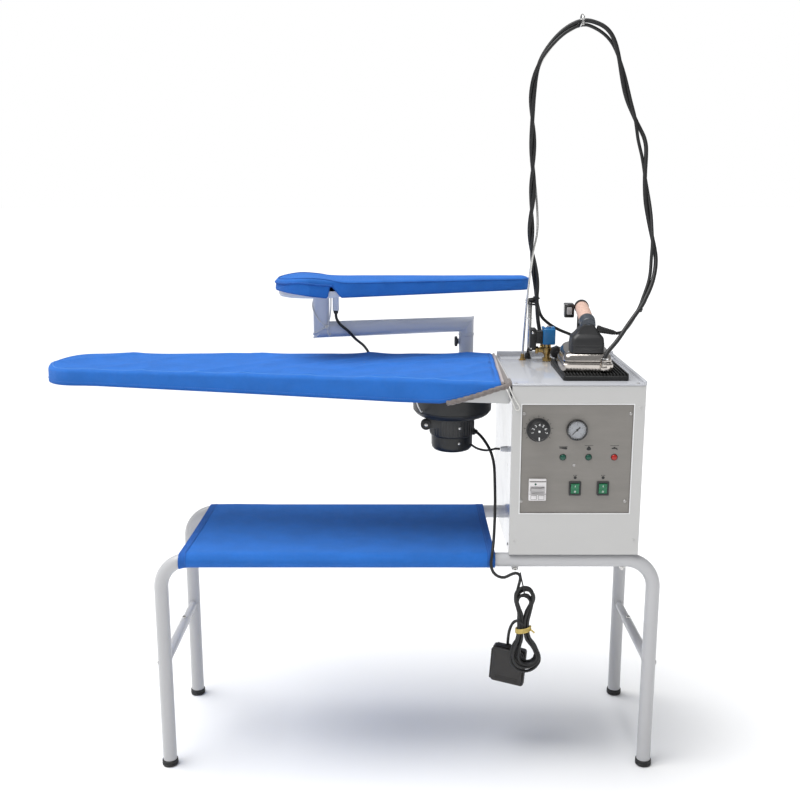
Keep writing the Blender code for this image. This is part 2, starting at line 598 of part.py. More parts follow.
def build_cords():
    tube("steam_hose", RUBBER, smooth(HOSE_START + bundle_strand(-1) + HOSE_END, 0.021), HOSE_D / 2)
    tube("iron_cable", RUBBER, smooth(CABLE_START + bundle_strand(1) + CABLE_END, 0.021), IRON_CABLE_D / 2)
    tube("pedal_cable", RUBBER, smooth(PEDAL_CABLE, 0.014), PEDAL_CABLE_D / 2)
    tube("sleeve_cable", RUBBER, smooth(SLEEVE_CABLE, 0.015), SLEEVE_CABLE_D / 2)
    tube("fan_cable", RUBBER, smooth(FAN_CABLE, 0.012), FAN_CABLE_D / 2)
    top, tie, low = 0.4385, 0.333, 0.216
    hank = [(0.262, top - 0.020), *arc((0.239, top - 0.016), 0.016, 40, 140, 4), (0.216, top - 0.020),
            (0.219, 0.385), (0.229, tie), (0.224, 0.290), (0.223, low + 0.030),
            *arc((0.256, low + 0.032), 0.032, 200, 340, 6), (0.288, low + 0.040), (0.280, 0.290),
            (0.263, tie), (0.264, 0.385)]
    solid = as_mesh(plate("cord_hank", RUBBER, hank, -0.012, 0.012))
    solid.rotation_euler = (math.radians(90), 0, 0)
    solid.location = (0, -0.0130, 0)
    lead = tube("pedal_lead", RUBBER, smooth(PEDAL_LEAD, 0.012), PEDAL_CABLE_D / 2)
    combine(solid, "UNION", tool=as_mesh(lead))


def build_pedal():
    holder = empty("pedal_place", PEDAL, 0, STATION)
    holder.rotation_euler = (0, PEDAL_LEAN, PEDAL_YAW)
    half_w, half_h = PEDAL_W / 2, PEDAL_H / 2
    block("pedal_base", BLACK, (-half_w, 0, -half_h), (half_w, PEDAL_D, half_h), 0.003, holder)
    hinge = (0, -GAP, 0.006 - half_h)
    leaf_w, leaf_h = half_w - 0.003, PEDAL_H - 0.012
    leaf = mesh_from("pedal_plate", [box_shape((-leaf_w, -0.0110, 0), (leaf_w, -0.0042, leaf_h))])
    rounded(place("pedal_plate", leaf, BLACK, hinge, holder=holder), 0.002)


# ---------------------------------------------------------------- iron

def sole_outline(inset):
    """Square back with rounded corners, parallel sides, and two arcs that meet in the nose."""
    half, back, nose = SOLE_W / 2 - inset, inset, SOLE_L - inset * 1.4
    corner = 0.012
    shoulder = 0.075
    points = arc((half - corner, back + corner), corner, -90, 0, 3)
    for i in range(8):
        t = i / 8
        points.append((half * (1 - t ** 2.1), shoulder + (nose - shoulder) * math.sin(t * math.pi / 2)))
    points.append((0.0, nose))
    mirrored = [(-x, y) for x, y in reversed(points[:-1])]
    return points + mirrored


def build_iron():
    holder = empty("iron_place", (*IRON_PLACE, CAB_TOP + GAP + MAT_HEIGHT + GAP), IRON_TURN, STATION)
    block("iron_rest", RUBBER, (*MAT_MIN, CAB_TOP + GAP), (*MAT_MAX, CAB_TOP + GAP + MAT_HEIGHT), 0.0015)
    sole = as_mesh(plate("soleplate", STEEL, sole_outline(0), 0, SOLE_H, holder=holder))
    fitting = rod_shape((0.0320, -0.0045, 0.004), (0.0320, -0.0045, 0.0235), 0.0068, 12)
    combine(sole, "UNION", [fitting], holder=holder)
    low = SOLE_H + GAP
    cover = as_mesh(plate("iron_cover", STEEL, sole_outline(COVER_INSET), low, low + COVER_H, holder=holder))
    rounded(cover, 0.006, 2)

    along = (GRIP_END - GRIP_START).normalized()
    seat = low + COVER_H + GAP
    housing_shape = box_shape((-0.031, 0.010, seat), (0.031, 0.078, seat + 0.053))
    housing_mesh = mesh_from("handle_housing", [housing_shape])
    for vertex in housing_mesh.vertices:
        if vertex.co.z > seat + 0.01:
            vertex.co.x *= 0.48
            vertex.co.y = 0.033 + (vertex.co.y - 0.044) * 0.40
    housing = place("handle_housing", housing_mesh, BLACK, holder=holder)
    rounded(housing, 0.004, 2)
    collar_shape = rod_shape(GRIP_START - along * 0.030, GRIP_START - along * GAP, 0.0165, 24)
    collar = mesh_from("collar", [collar_shape])
    combine(housing, "UNION", tool=place("collar", collar, BLACK, holder=holder))

    place("grip", mesh_from("grip", [rod_shape(GRIP_START, GRIP_END, GRIP_R, 24)]), CORK, holder=holder)
    nose_shape = rod_shape(GRIP_END + along * GAP, GRIP_END + along * 0.020, 0.0155, 24, 0.011)
    nose = place("handle_nose", mesh_from("handle_nose", [nose_shape]), BLACK, holder=holder)
    end = GRIP_END + along * 0.010
    post_shape = box_shape((-0.009, end.y - 0.006, seat), (0.009, end.y + 0.008, end.z - 0.004))
    post = mesh_from("post", [post_shape])
    combine(nose, "UNION", tool=place("post", post, BLACK, holder=holder))

    box_right = -0.0160
    switch = block("switch_box", BLACK, (box_right - 0.022, end.y - 0.012, end.z - 0.024),
                   (box_right, end.y + 0.016, end.z + 0.006), 0.0015, holder)
    middle = (box_right - 0.011, end.y - 0.012, end.z - 0.009)
    pocket = Vector((0.0062, 0.009, 0.0082))
    room = box_shape(Vector(middle) - pocket, Vector(middle) + pocket)
    combine(switch, "DIFFERENCE", [room], holder=holder)
    half = pocket - Vector((0.0005, 0, 0.0005))
    button = mesh_from("steam_button", [box_shape((-half.x, -0.0045, -half.z), (half.x, 0.0045, half.z))])
    rounded(place("steam_button", button, RED, middle, holder=holder), 0.0008)
    relief = rod_shape((0.0225, 0.0300, 0.0855), (0.0560, 0.0300, 0.0780), 0.0070, 16, 0.0048)
    place("cable_sleeve", mesh_from("cable_sleeve", [relief]), RUBBER, holder=holder)


# ---------------------------------------------------------------- boards and arm

def board_outline(inset=0.0):
    """Straight back edge, tapering front edge and a rounded left tip."""
    slope = (BOARD_FRONT_LEFT - BOARD_FRONT_RIGHT) / (BOARD_SHOULDER - BOARD_RIGHT)
    shoulder, right = BOARD_SHOULDER, BOARD_RIGHT - inset
    front_left = BOARD_FRONT_LEFT + inset
    front_right = BOARD_FRONT_RIGHT + inset
    back = BOARD_BACK - inset
    reach = shoulder - BOARD_TIP - inset
    middle = (back + front_left) / 2
    half = (back - front_left) / 2
    tip = []
    for i in range(13):
        a = math.pi / 2 + math.pi * i / 12
        squared = 0.62
        tip.append((shoulder + reach * math.copysign(abs(math.cos(a)) ** squared, math.cos(a)),
                    middle + half * math.copysign(abs(math.sin(a)) ** 0.9, math.sin(a))))
    knee = (shoulder / 2, front_left + slope * (shoulder / 2 - shoulder) + 0.004)
    return [(right, front_right), (right, back), *tip, knee]


def build_board():
    cover = as_mesh(plate("board_cover", BLUE_CLOTH, board_outline(), BOARD_BOTTOM, BOARD_TOP))
    hollow = as_mesh(plate("hollow", BLUE_CLOTH, board_outline(SKIRT), BOARD_BOTTOM - 0.01, PAN_TOP + GAP))
    combine(cover, "DIFFERENCE", tool=hollow)
    pan = as_mesh(plate("board_pan", WHITE, board_outline(SKIRT + GAP), PAN_BOTTOM, PAN_TOP))
    inside = as_mesh(plate("inside", WHITE, board_outline(SKIRT + 0.002), PAN_BOTTOM + 0.002, PAN_TOP + 0.01))
    combine(pan, "DIFFERENCE", tool=inside)
    inlet = mesh_from("inlet", [rod_shape((*FAN, PAN_BOTTOM - 0.01), (*FAN, PAN_BOTTOM + 0.01), 0.045, 24)])
    combine(pan, "DIFFERENCE", tool=place("inlet", inlet, WHITE))
    combine_gland(pan, (0.040, 0.325, PAN_BOTTOM), (0, 0, -1))


def build_fan():
    top = PAN_BOTTOM - GAP
    depth = FAN_HEIGHT
    drum = [(0.046, 0), (FAN_R, 0), (FAN_R, 0.006 - depth), (FAN_R - 0.006, -depth), (0.012, -depth),
            (0.012, 0.003 - depth), (FAN_R - 0.006, 0.003 - depth), (FAN_R - 0.003, 0.008 - depth),
            (FAN_R - 0.003, -0.003), (0.046, -0.003)]
    turned("fan_housing", BLACK, drum, (*FAN, top), steps=32, closed=True)
    motor_top = top - depth - GAP
    low = MOTOR_BOTTOM - motor_top
    body = [(0, 0), (MOTOR_R, 0), (MOTOR_R, low * 0.55), (MOTOR_R - 0.003, low * 0.58),
            (MOTOR_R - 0.003, low * 0.85), (MOTOR_R - 0.012, low), (0, low)]
    motor = turned("fan_motor", BLACK, body, (*FAN, motor_top), steps=24)
    combine(motor, "UNION", [rod_shape((FAN[0] - 0.046, FAN[1] - 0.030, motor_top - 0.016),
                                       (FAN[0] - 0.046, FAN[1] - 0.042, motor_top - 0.016), 0.0130, 16)])
    arm = mesh_from("lug_arm", [box_shape((FAN[0] - 0.050, FAN[1] - 0.040, motor_top - 0.028),
                                          (FAN[0] - 0.020, FAN[1] - 0.032, motor_top - 0.003))])
    combine(motor, "UNION", tool=place("lug_arm", arm, BLACK))
    blades, hub, reach, half = 9, 0.016, 0.070, 0.0018
    outline = []
    for blade in range(blades):
        a = math.tau * blade / blades
        sweep = 0.45
        side = half / hub
        outline += [(hub * math.cos(a - side), hub * math.sin(a - side)),
                    (reach * math.cos(a + sweep - half / reach), reach * math.sin(a + sweep - half / reach)),
                    (reach * math.cos(a + sweep + half / reach), reach * math.sin(a + sweep + half / reach)),
                    (hub * math.cos(a + side), hub * math.sin(a + side))]
    wheel = as_mesh(plate("impeller", STEEL, outline, 0.010, 0.040))
    wheel.location = (*FAN, top - depth + 0.025)
    combine(wheel, "UNION", [rod_shape((0, 0, -0.0245), (0, 0, 0.012), 0.0060, 16)], holder=wheel)


def mitred_arm():
    """Three runs of one round tube, joined by two 45 degree mitres."""
    bm = bmesh.new()
    sides = 24
    left, right = -ARM_LENGTH, 0.0
    corners = ((left, TRAY_BOTTOM - GAP, 0), (left, ARM_Z, 1), (right, ARM_Z, 1), (right, ARM_SEAM, 0))
    rings = []
    for x, z, slope in corners:
        ring = []
        for i in range(sides):
            a = math.tau * i / sides
            across = ARM_R * math.cos(a)
            ring.append(bm.verts.new((x + across, ARM_R * math.sin(a), z + slope * across)))
        rings.append(ring)
    for upper, lower in zip(rings, rings[1:]):
        for i in range(sides):
            j = (i + 1) % sides
            bm.faces.new((upper[j], upper[i], lower[i], lower[j]))
    bm.faces.new(rings[0])
    bm.faces.new(reversed(rings[-1]))
    bmesh.ops.recalc_face_normals(bm, faces=bm.faces)
    mesh = bpy.data.meshes.new("swing_arm")
    bm.to_mesh(mesh)
    bm.free()
    return mesh


def sleeve_outline(inset=0.0):
    """Wide round left end that tapers to a narrow round tip."""
    wide, narrow = SLEEVE_W_LEFT / 2 - inset, SLEEVE_W_RIGHT / 2 - inset
    left, right = SLEEVE_LEFT + inset, SLEEVE_RIGHT - inset
    middle_left = left + wide
    round_end = [(x, y) for x, y in arc((middle_left, 0), wide, 98, 262, 12)]
    tip_end = [(right - narrow + x, y) for x, y in arc((0, 0), narrow, -80, 80, 6)]
    return round_end + tip_end


def build_arm():
    x, y = POST
    tube_mesh = mesh_from("arm_post", [rod_shape((x, y, POST_BOTTOM), (x, y, ARM_SEAM - GAP), ARM_R, 24)])
    post = place("arm_post", tube_mesh, GREY_PAINT)
    back = BOARD_BACK + 0.0003
    combine(post, "UNION", [box_shape((x - 0.030, back, 0.8215), (x + 0.030, y - 0.006, 0.8275))])
    lower = box_shape((x - 0.030, back - 0.030, 0.8140), (x + 0.030, y - 0.006, 0.8198))
    combine(post, "UNION", tool=place("lower_bracket", mesh_from("lower_bracket", [lower]), GREY_PAINT))
    boss = mesh_from("boss", [rod_shape((x - ARM_R - 0.005, y, 0.887), (x - 0.010, y, 0.887), 0.0065, 12)])
    combine(post, "UNION", tool=place("boss", boss, GREY_PAINT))
    knob = [(0, 0.016), (0.009, 0.016), (0.0115, 0.014), (0.0115, 0.004), (0.006, 0.0), (0, 0)]
    turned("clamp_knob", BLACK, knob, (x - ARM_R - 0.005 - GAP, y, 0.887), (0, math.radians(-90), 0), 12)

    pivot = empty("arm_pivot", (x, y, 0), ARM_TURN, STATION)
    place("swing_arm", mitred_arm(), GREY_PAINT, holder=pivot)
    build_sleeve_board(empty("sleeve_place", (-ARM_LENGTH, 0, 0), SLEEVE_TURN, pivot))


def build_sleeve_board(holder):
    floor = TRAY_BOTTOM + 0.002
    tray = as_mesh(plate("sleeve_tray", WHITE, sleeve_outline(0.006), TRAY_BOTTOM, TRAY_TOP, holder=holder))
    inside = as_mesh(plate("tray_hollow", WHITE, sleeve_outline(0.0075), floor, TRAY_TOP + 0.01,
                           holder=holder))
    combine(tray, "DIFFERENCE", tool=inside)
    pipe = rod_shape((PIPE_X, PIPE_Y, PIPE_BOTTOM), (PIPE_X, PIPE_Y, TRAY_BOTTOM + 0.001), PIPE_R, 12)
    combine(tray, "UNION", [pipe], holder=holder)
    low, high, rim = SLEEVE_BOTTOM, SLEEVE_TOP, 0.0055
    cover = as_mesh(plate("sleeve_cover", BLUE_CLOTH, sleeve_outline(), low, high, holder=holder))
    hollow = as_mesh(plate("sleeve_hollow", BLUE_CLOTH, sleeve_outline(rim), low - 0.01, TRAY_TOP + GAP,
                           holder=holder))
    combine(cover, "DIFFERENCE", tool=hollow)


clear_scene()
PARTS = new_collection("steam_ironing_station")
CUTTERS = new_collection("cutters")
STATION = empty("station", (STATION_X, STATION_Y, 0))
build_stand()
build_shelf()
build_cabinet()
build_panel()
build_dial_and_gauge()
build_lamps()
build_switches()
build_breaker()
build_boiler()
build_valve()
build_mast()
build_cords()
build_pedal()
build_iron()
build_board()
build_fan()
build_arm()
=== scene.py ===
"""Looks of the steam ironing station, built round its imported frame.

Places are metres in the station's own frame: x from the stand's centre line, y back from the front frame's
plane, z up from the floor. ORIGIN puts that frame into the row's frame.
"""
import random
from math import ceil, copysign, cos, exp, pi, radians, sin, sqrt, tau

import bmesh
import bpy
from mathutils import Matrix, Vector, noise


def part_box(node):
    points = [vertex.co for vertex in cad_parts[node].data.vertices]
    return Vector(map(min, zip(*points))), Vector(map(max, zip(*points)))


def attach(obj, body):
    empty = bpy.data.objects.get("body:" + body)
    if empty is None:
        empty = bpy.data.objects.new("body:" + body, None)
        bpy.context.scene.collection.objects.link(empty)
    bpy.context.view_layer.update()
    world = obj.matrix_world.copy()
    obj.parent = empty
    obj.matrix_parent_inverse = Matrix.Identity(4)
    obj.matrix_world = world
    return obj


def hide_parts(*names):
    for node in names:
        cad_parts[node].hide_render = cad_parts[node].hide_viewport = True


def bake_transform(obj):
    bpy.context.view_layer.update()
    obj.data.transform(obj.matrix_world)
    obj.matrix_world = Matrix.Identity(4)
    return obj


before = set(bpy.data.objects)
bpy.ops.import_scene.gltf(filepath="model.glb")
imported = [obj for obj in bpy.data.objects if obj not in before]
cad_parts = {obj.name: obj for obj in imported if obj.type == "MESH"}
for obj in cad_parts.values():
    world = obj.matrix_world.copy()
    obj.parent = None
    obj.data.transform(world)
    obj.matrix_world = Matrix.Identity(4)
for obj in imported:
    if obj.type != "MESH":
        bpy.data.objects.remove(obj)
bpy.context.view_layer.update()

TUBE_R = 0.015
low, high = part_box("front_frame")
ORIGIN = Vector(((low.x + high.x) / 2, low.y + TUBE_R, 0))
STATION = Matrix.Translation(ORIGIN)
# Half the stand's length and its depth, both between middles of legs, and the height of its long bars.
STAND_HALF, STAND_DEPTH, BAR_Z = 0.525, 0.32, 0.481


def node_high(name):
    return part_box(name)[1] - ORIGIN


# ---------------------------------------------------------------- camera, light and stage

def make_camera():
    data = bpy.data.cameras.new("camera")
    data.lens = 46.1
    data.sensor_width = 36
    camera = bpy.data.objects.new("camera", data)
    bpy.context.scene.collection.objects.link(camera)
    camera.location = ORIGIN + Vector((-0.0149, -2.0542, 1.2751))
    camera.rotation_euler = (radians(77.71), 0, 0)
    bpy.context.scene.camera = camera


def area_light(name, at, aim, size, power):
    data = bpy.data.lights.new(name, "AREA")
    data.shape = "RECTANGLE"
    data.size, data.size_y = size
    data.energy = power
    light = bpy.data.objects.new(name, data)
    bpy.context.scene.collection.objects.link(light)
    light.location = at
    light.rotation_euler = (Vector(aim) - Vector(at)).to_track_quat("-Z", "Y").to_euler()


def make_stage():
    world = bpy.data.worlds.new("studio")
    world.use_nodes = True
    tree = world.node_tree
    background = tree.nodes["Background"]
    background.inputs["Color"].default_value = (0.95, 0.97, 1, 1)
    background.inputs["Strength"].default_value = 0.32
    bright = tree.nodes.new("ShaderNodeBackground")
    bright.inputs["Color"].default_value = (1, 1, 1, 1)
    bright.inputs["Strength"].default_value = 1.0
    seen = tree.nodes.new("ShaderNodeLightPath")
    mix = tree.nodes.new("ShaderNodeMixShader")
    tree.links.new(seen.outputs["Is Camera Ray"], mix.inputs[0])
    tree.links.new(background.outputs[0], mix.inputs[1])
    tree.links.new(bright.outputs[0], mix.inputs[2])
    tree.links.new(mix.outputs[0], tree.nodes["World Output"].inputs["Surface"])
    bpy.context.scene.world = world
    bpy.context.scene.view_settings.view_transform = "Standard"
    bm = bmesh.new()
    bmesh.ops.create_grid(bm, x_segments=1, y_segments=1, size=40)
    mesh = bpy.data.meshes.new("floor")
    bm.to_mesh(mesh)
    bm.free()
    mesh.materials.append(look("floor_look", (0.90, 0.90, 0.90), 0.9, mottle=0.0))
    floor = bpy.data.objects.new("floor", mesh)
    bpy.context.scene.collection.objects.link(floor)
    area_light("key", (-1.2, -1.9, 3.6), (0, 0, 0.7), (2.6, 2.0), 22)
    area_light("fill", (2.4, -2.6, 1.6), (0.2, 0, 0.7), (2.0, 2.0), 5)
    overhead = bpy.data.lights.new("overhead", "SUN")
    overhead.energy, overhead.angle = 3.5, radians(50)
    sky = bpy.data.objects.new("overhead", overhead)
    bpy.context.scene.collection.objects.link(sky)
    sky.rotation_euler = (0, radians(-20), 0)


# ---------------------------------------------------------------- materials

def link(tree, a, b):
    tree.links.new(a, b)


def math_node(tree, operation, a, b=None):
    node = tree.nodes.new("ShaderNodeMath")
    node.operation = operation
    for socket, value in zip(node.inputs, (a, b)):
        if value is None:
            continue
        if isinstance(value, (int, float)):
            socket.default_value = value
        else:
            link(tree, value, socket)
    return node.outputs[0]


def noise_node(tree, coords, scale, detail=3.0, stretch=(1, 1, 1)):
    mapping = tree.nodes.new("ShaderNodeMapping")
    mapping.inputs["Scale"].default_value = stretch
    link(tree, coords, mapping.inputs["Vector"])
    node = tree.nodes.new("ShaderNodeTexNoise")
    node.inputs["Scale"].default_value = scale
    node.inputs["Detail"].default_value = detail
    link(tree, mapping.outputs[0], node.inputs["Vector"])
    return node.outputs["Fac"]


def ramp_between(tree, factor, low_value, high_value):
    node = tree.nodes.new("ShaderNodeMapRange")
    node.inputs["From Min"].default_value = 0.3
    node.inputs["From Max"].default_value = 0.7
    node.inputs["To Min"].default_value = low_value
    node.inputs["To Max"].default_value = high_value
    link(tree, factor, node.inputs["Value"])
    return node.outputs[0]


def weave_height(tree, coords, pitch):
    """Threads that go over and under each other on faces of any direction."""
    split = tree.nodes.new("ShaderNodeSeparateXYZ")
    link(tree, coords, split.inputs[0])
    waves = [math_node(tree, "SINE", math_node(tree, "MULTIPLY", out, tau / (2 * pitch)))
             for out in split.outputs]
    pairs = [math_node(tree, "MULTIPLY", waves[i], waves[j]) for i, j in ((0, 1), (1, 2), (0, 2))]
    return math_node(tree, "ADD", math_node(tree, "ADD", pairs[0], pairs[1]), pairs[2])


LOOKS = {}


def look(name, color, rough, metallic=0.0, mottle=0.05, mottle_scale=9.0, grain=0.0, grain_scale=600.0,
         stretch=(1, 1, 1), weave=None, sheen=0.0, coat=0.0, wear=None, clear=0.0, glow=0.0, specks=None):
    """A finish whose colour, roughness and relief vary over the surface at the scale of the real one."""
    found = bpy.data.materials.new(name)
    found.use_nodes = True
    tree = found.node_tree
    shader = tree.nodes["Principled BSDF"]
    shader.inputs["Metallic"].default_value = metallic
    shader.inputs["Coat Weight"].default_value = coat
    shader.inputs["Sheen Weight"].default_value = sheen
    shader.inputs["Transmission Weight"].default_value = clear
    coords = tree.nodes.new("ShaderNodeTexCoord").outputs["Object"]

    shade = noise_node(tree, coords, mottle_scale, 5.0, stretch)
    mix = tree.nodes.new("ShaderNodeMix")
    mix.data_type = "RGBA"
    mix.inputs[6].default_value = (*[c * (1 - mottle) for c in color], 1)
    mix.inputs[7].default_value = (*[min(1, c * (1 + mottle)) for c in color], 1)
    link(tree, ramp_between(tree, shade, 0, 1), mix.inputs[0])
    base = mix.outputs[2]
    if specks:
        speck_color, share, scale = specks
        spots = noise_node(tree, coords, scale, 2.0)
        over = tree.nodes.new("ShaderNodeMix")
        over.data_type = "RGBA"
        edge = tree.nodes.new("ShaderNodeMapRange")
        edge.inputs["From Min"].default_value = 1 - share
        edge.inputs["From Max"].default_value = 1 - share + 0.06
        link(tree, spots, edge.inputs["Value"])
        link(tree, edge.outputs[0], over.inputs[0])
        link(tree, base, over.inputs[6])
        over.inputs[7].default_value = (*speck_color, 1)
        base = over.outputs[2]
    if wear:
        wear_color, amount = wear
        geometry = tree.nodes.new("ShaderNodeNewGeometry")
        edge = tree.nodes.new("ShaderNodeMapRange")
        edge.inputs["From Min"].default_value = 0.53
        edge.inputs["From Max"].default_value = 0.62
        edge.inputs["To Max"].default_value = amount
        link(tree, geometry.outputs["Pointiness"], edge.inputs["Value"])
        patchy = math_node(tree, "MULTIPLY", edge.outputs[0], noise_node(tree, coords, 60.0))
        over = tree.nodes.new("ShaderNodeMix")
        over.data_type = "RGBA"
        link(tree, patchy, over.inputs[0])
        link(tree, base, over.inputs[6])
        over.inputs[7].default_value = (*wear_color, 1)
        base = over.outputs[2]
    link(tree, base, shader.inputs["Base Color"])
    link(tree, ramp_between(tree, noise_node(tree, coords, mottle_scale * 6, 4.0, stretch),
                            max(0.02, rough - 0.06), min(1.0, rough + 0.06)), shader.inputs["Roughness"])
    if grain or weave:
        bump = tree.nodes.new("ShaderNodeBump")
        bump.inputs["Distance"].default_value = 0.0004
        bump.inputs["Strength"].default_value = min(1.0, grain or 0.5)
        if weave:
            fuzz = math_node(tree, "MULTIPLY", noise_node(tree, coords, 900.0), 0.7)
            height = math_node(tree, "ADD", weave_height(tree, coords, weave), fuzz)
        else:
            height = noise_node(tree, coords, grain_scale, 4.0, stretch)
        link(tree, height, bump.inputs["Height"])
        link(tree, bump.outputs[0], shader.inputs["Normal"])
    if glow:
        shader.inputs["Emission Color"].default_value = (*color, 1)
        shader.inputs["Emission Strength"].default_value = glow
    LOOKS[name] = found
    return found


look("frame_paint", (0.51, 0.51, 0.52), 0.36, grain=0.18, grain_scale=900, mottle=0.02, coat=0.25,
     wear=((0.35, 0.34, 0.33), 0.35))
look("cabinet_paint", (0.51, 0.52, 0.55), 0.15, mottle=0.015, mottle_scale=2.0, coat=0.5)
# Painted highlight: this light grey stands for the shine on the raised edge round the panel's opening.
look("edge_highlight_paint", (0.80, 0.80, 0.80), 0.35, grain=0.1, grain_scale=600, mottle=0.03)
look("arm_paint", (0.60, 0.62, 0.67), 0.40, grain=0.10, grain_scale=500, mottle=0.02,
     wear=((0.45, 0.44, 0.43), 0.3))
look("dull_screw", (0.42, 0.41, 0.40), 0.32, metallic=0.8, grain=0.1, mottle=0.1)
look("front_paint", (0.56, 0.555, 0.545), 0.42, grain=0.2, grain_scale=700, mottle=0.02)
look("panel_paint", (0.240, 0.226, 0.208), 0.5, metallic=0.25, grain=0.15, grain_scale=500, mottle=0.05,
     stretch=(1, 1, 6))
look("blue_cloth", (0.014, 0.155, 0.580), 0.88, mottle=0.07, mottle_scale=22, weave=0.0006, sheen=0.04)
look("blue_hem", (0.010, 0.115, 0.46), 0.88, mottle=0.1, mottle_scale=60, weave=0.0006, sheen=0.04)
look("blue_piping", (0.060, 0.25, 0.68), 0.8, mottle=0.1, mottle_scale=60, weave=0.0006, sheen=0.1)
look("thread", (0.06, 0.20, 0.62), 0.7, mottle=0.15, mottle_scale=300, grain=0.6, grain_scale=2500)
look("white_cord", (0.72, 0.71, 0.68), 0.8, mottle=0.1, mottle_scale=200, grain=0.8, grain_scale=1800)
look("felt_light", (0.42, 0.37, 0.36), 0.95, mottle=0.12, mottle_scale=200, grain=1.0, grain_scale=900,
     sheen=0.3)
look("felt", (0.185, 0.160, 0.150), 0.95, mottle=0.22, mottle_scale=160, grain=1.0, grain_scale=900,
     sheen=0.4)
look("black_plastic", (0.018, 0.018, 0.019), 0.42, grain=0.35, grain_scale=1400, mottle=0.2,
     wear=((0.10, 0.10, 0.10), 0.4))
look("black_gloss", (0.012, 0.012, 0.013), 0.16, mottle=0.2, coat=0.4)
look("fan_black", (0.006, 0.007, 0.008), 0.40, grain=0.25, grain_scale=800, mottle=0.25,
     wear=((0.12, 0.12, 0.12), 0.5))
look("rubber", (0.009, 0.009, 0.009), 0.5, grain=0.3, grain_scale=1500, mottle=0.25, mottle_scale=30)
look("steel", (0.60, 0.59, 0.57), 0.24, metallic=1.0, grain=0.12, grain_scale=500, stretch=(1, 1, 14),
     mottle=0.08)
look("iron_steel", (0.56, 0.52, 0.48), 0.17, metallic=1.0, grain=0.10, grain_scale=260, stretch=(1, 1, 5),
     mottle=0.12, mottle_scale=16)
look("bright_steel", (0.75, 0.75, 0.74), 0.12, metallic=1.0, mottle=0.05)
look("brass", (0.50, 0.34, 0.13), 0.28, metallic=1.0, grain=0.2, grain_scale=700, mottle=0.18,
     mottle_scale=70)
look("cork", (0.62, 0.42, 0.34), 0.8, mottle=0.16, mottle_scale=260, grain=0.8, grain_scale=900,
     specks=((0.33, 0.18, 0.12), 0.38, 420))
look("collar", (0.045, 0.055, 0.07), 0.35, grain=0.2, grain_scale=900, mottle=0.15)
look("coil_blue", (0.012, 0.16, 0.40), 0.35, grain=0.15, grain_scale=1200, mottle=0.1, mottle_scale=40,
     coat=0.2)
look("green_lens", (0.002, 0.15, 0.060), 0.3, mottle=0.2, mottle_scale=120, coat=0.1, glow=0.04)
look("lamp_green", (0.002, 0.075, 0.045), 0.25, mottle=0.2, mottle_scale=160, coat=0.1)
look("red_lens", (0.36, 0.010, 0.003), 0.25, mottle=0.2, mottle_scale=120, coat=0.1, glow=0.03)
look("white_plastic", (0.78, 0.76, 0.76), 0.35, grain=0.1, grain_scale=900, mottle=0.03)
look("grey_plastic", (0.42, 0.41, 0.41), 0.4, grain=0.1, grain_scale=900, mottle=0.05)
look("dial_face", (0.70, 0.71, 0.75), 0.45, mottle=0.02)
look("white_ink", (0.85, 0.85, 0.84), 0.5, mottle=0.03)
look("black_ink", (0.015, 0.015, 0.015), 0.5, mottle=0.1)
look("grey_ink", (0.16, 0.15, 0.14), 0.5, mottle=0.1)
look("tray_paint", (0.66, 0.68, 0.71), 0.4, grain=0.15, grain_scale=800, mottle=0.03)
look("plenum_paint", (0.52, 0.52, 0.515), 0.45, grain=0.2, grain_scale=700, mottle=0.03)
look("tie_yellow", (0.56, 0.42, 0.12), 0.5, mottle=0.15, mottle_scale=120)
look("pedal", (0.020, 0.018, 0.017), 0.5, grain=0.4, grain_scale=900, mottle=0.15)
look("glass", (0.95, 0.96, 0.97), 0.04, mottle=0.0, clear=1.0)


# ---------------------------------------------------------------- shapes: each returns a bmesh of its own

def around(count, closed=False):
    """Angles evenly spread round a full turn, with the first again at the end when closed."""
    return [tau * i / count for i in range(count + closed)]


def skin(rings, caps=False, loop=False, merge=0.0):
    """A surface through closed rings of the same number of points."""
    bm = bmesh.new()
    made = [[bm.verts.new(p) for p in ring] for ring in rings]
    bridge(bm, made + made[:1] if loop else made, closed=True)
    if caps:
        bm.faces.new(made[0])
        bm.faces.new(made[-1])
    if merge:
        bmesh.ops.remove_doubles(bm, verts=bm.verts, dist=merge)
    bmesh.ops.recalc_face_normals(bm, faces=bm.faces)
    return bm


def box(low, high, bevel=0.0008, segments=2):
    low, high = Vector(low), Vector(high)
    bm = bmesh.new()
    bmesh.ops.create_cube(bm, size=1, matrix=Matrix.Translation((low + high) / 2)
                          @ Matrix.Diagonal((*(high - low), 1)))
    if bevel:
        bmesh.ops.bevel(bm, geom=bm.edges, offset=bevel, segments=segments, profile=0.5, affect="EDGES")
    return bm


def rod(start, end, radius, end_radius=None, sides=32, bevel=0.0):
    start, end = Vector(start), Vector(end)
    along = end - start
    matrix = Matrix.Translation((start + end) / 2) @ along.to_track_quat("Z", "Y").to_matrix().to_4x4()
    bm = bmesh.new()
    last = radius if end_radius is None else end_radius
    bmesh.ops.create_cone(bm, cap_ends=True, segments=sides, radius1=radius, radius2=last, depth=along.length,
                          matrix=matrix)
    if bevel:
        rims = [e for e in bm.edges if any(len(f.verts) > 4 for f in e.link_faces)]
        bmesh.ops.bevel(bm, geom=rims, offset=bevel, segments=2, profile=0.5, affect="EDGES")
    return bm


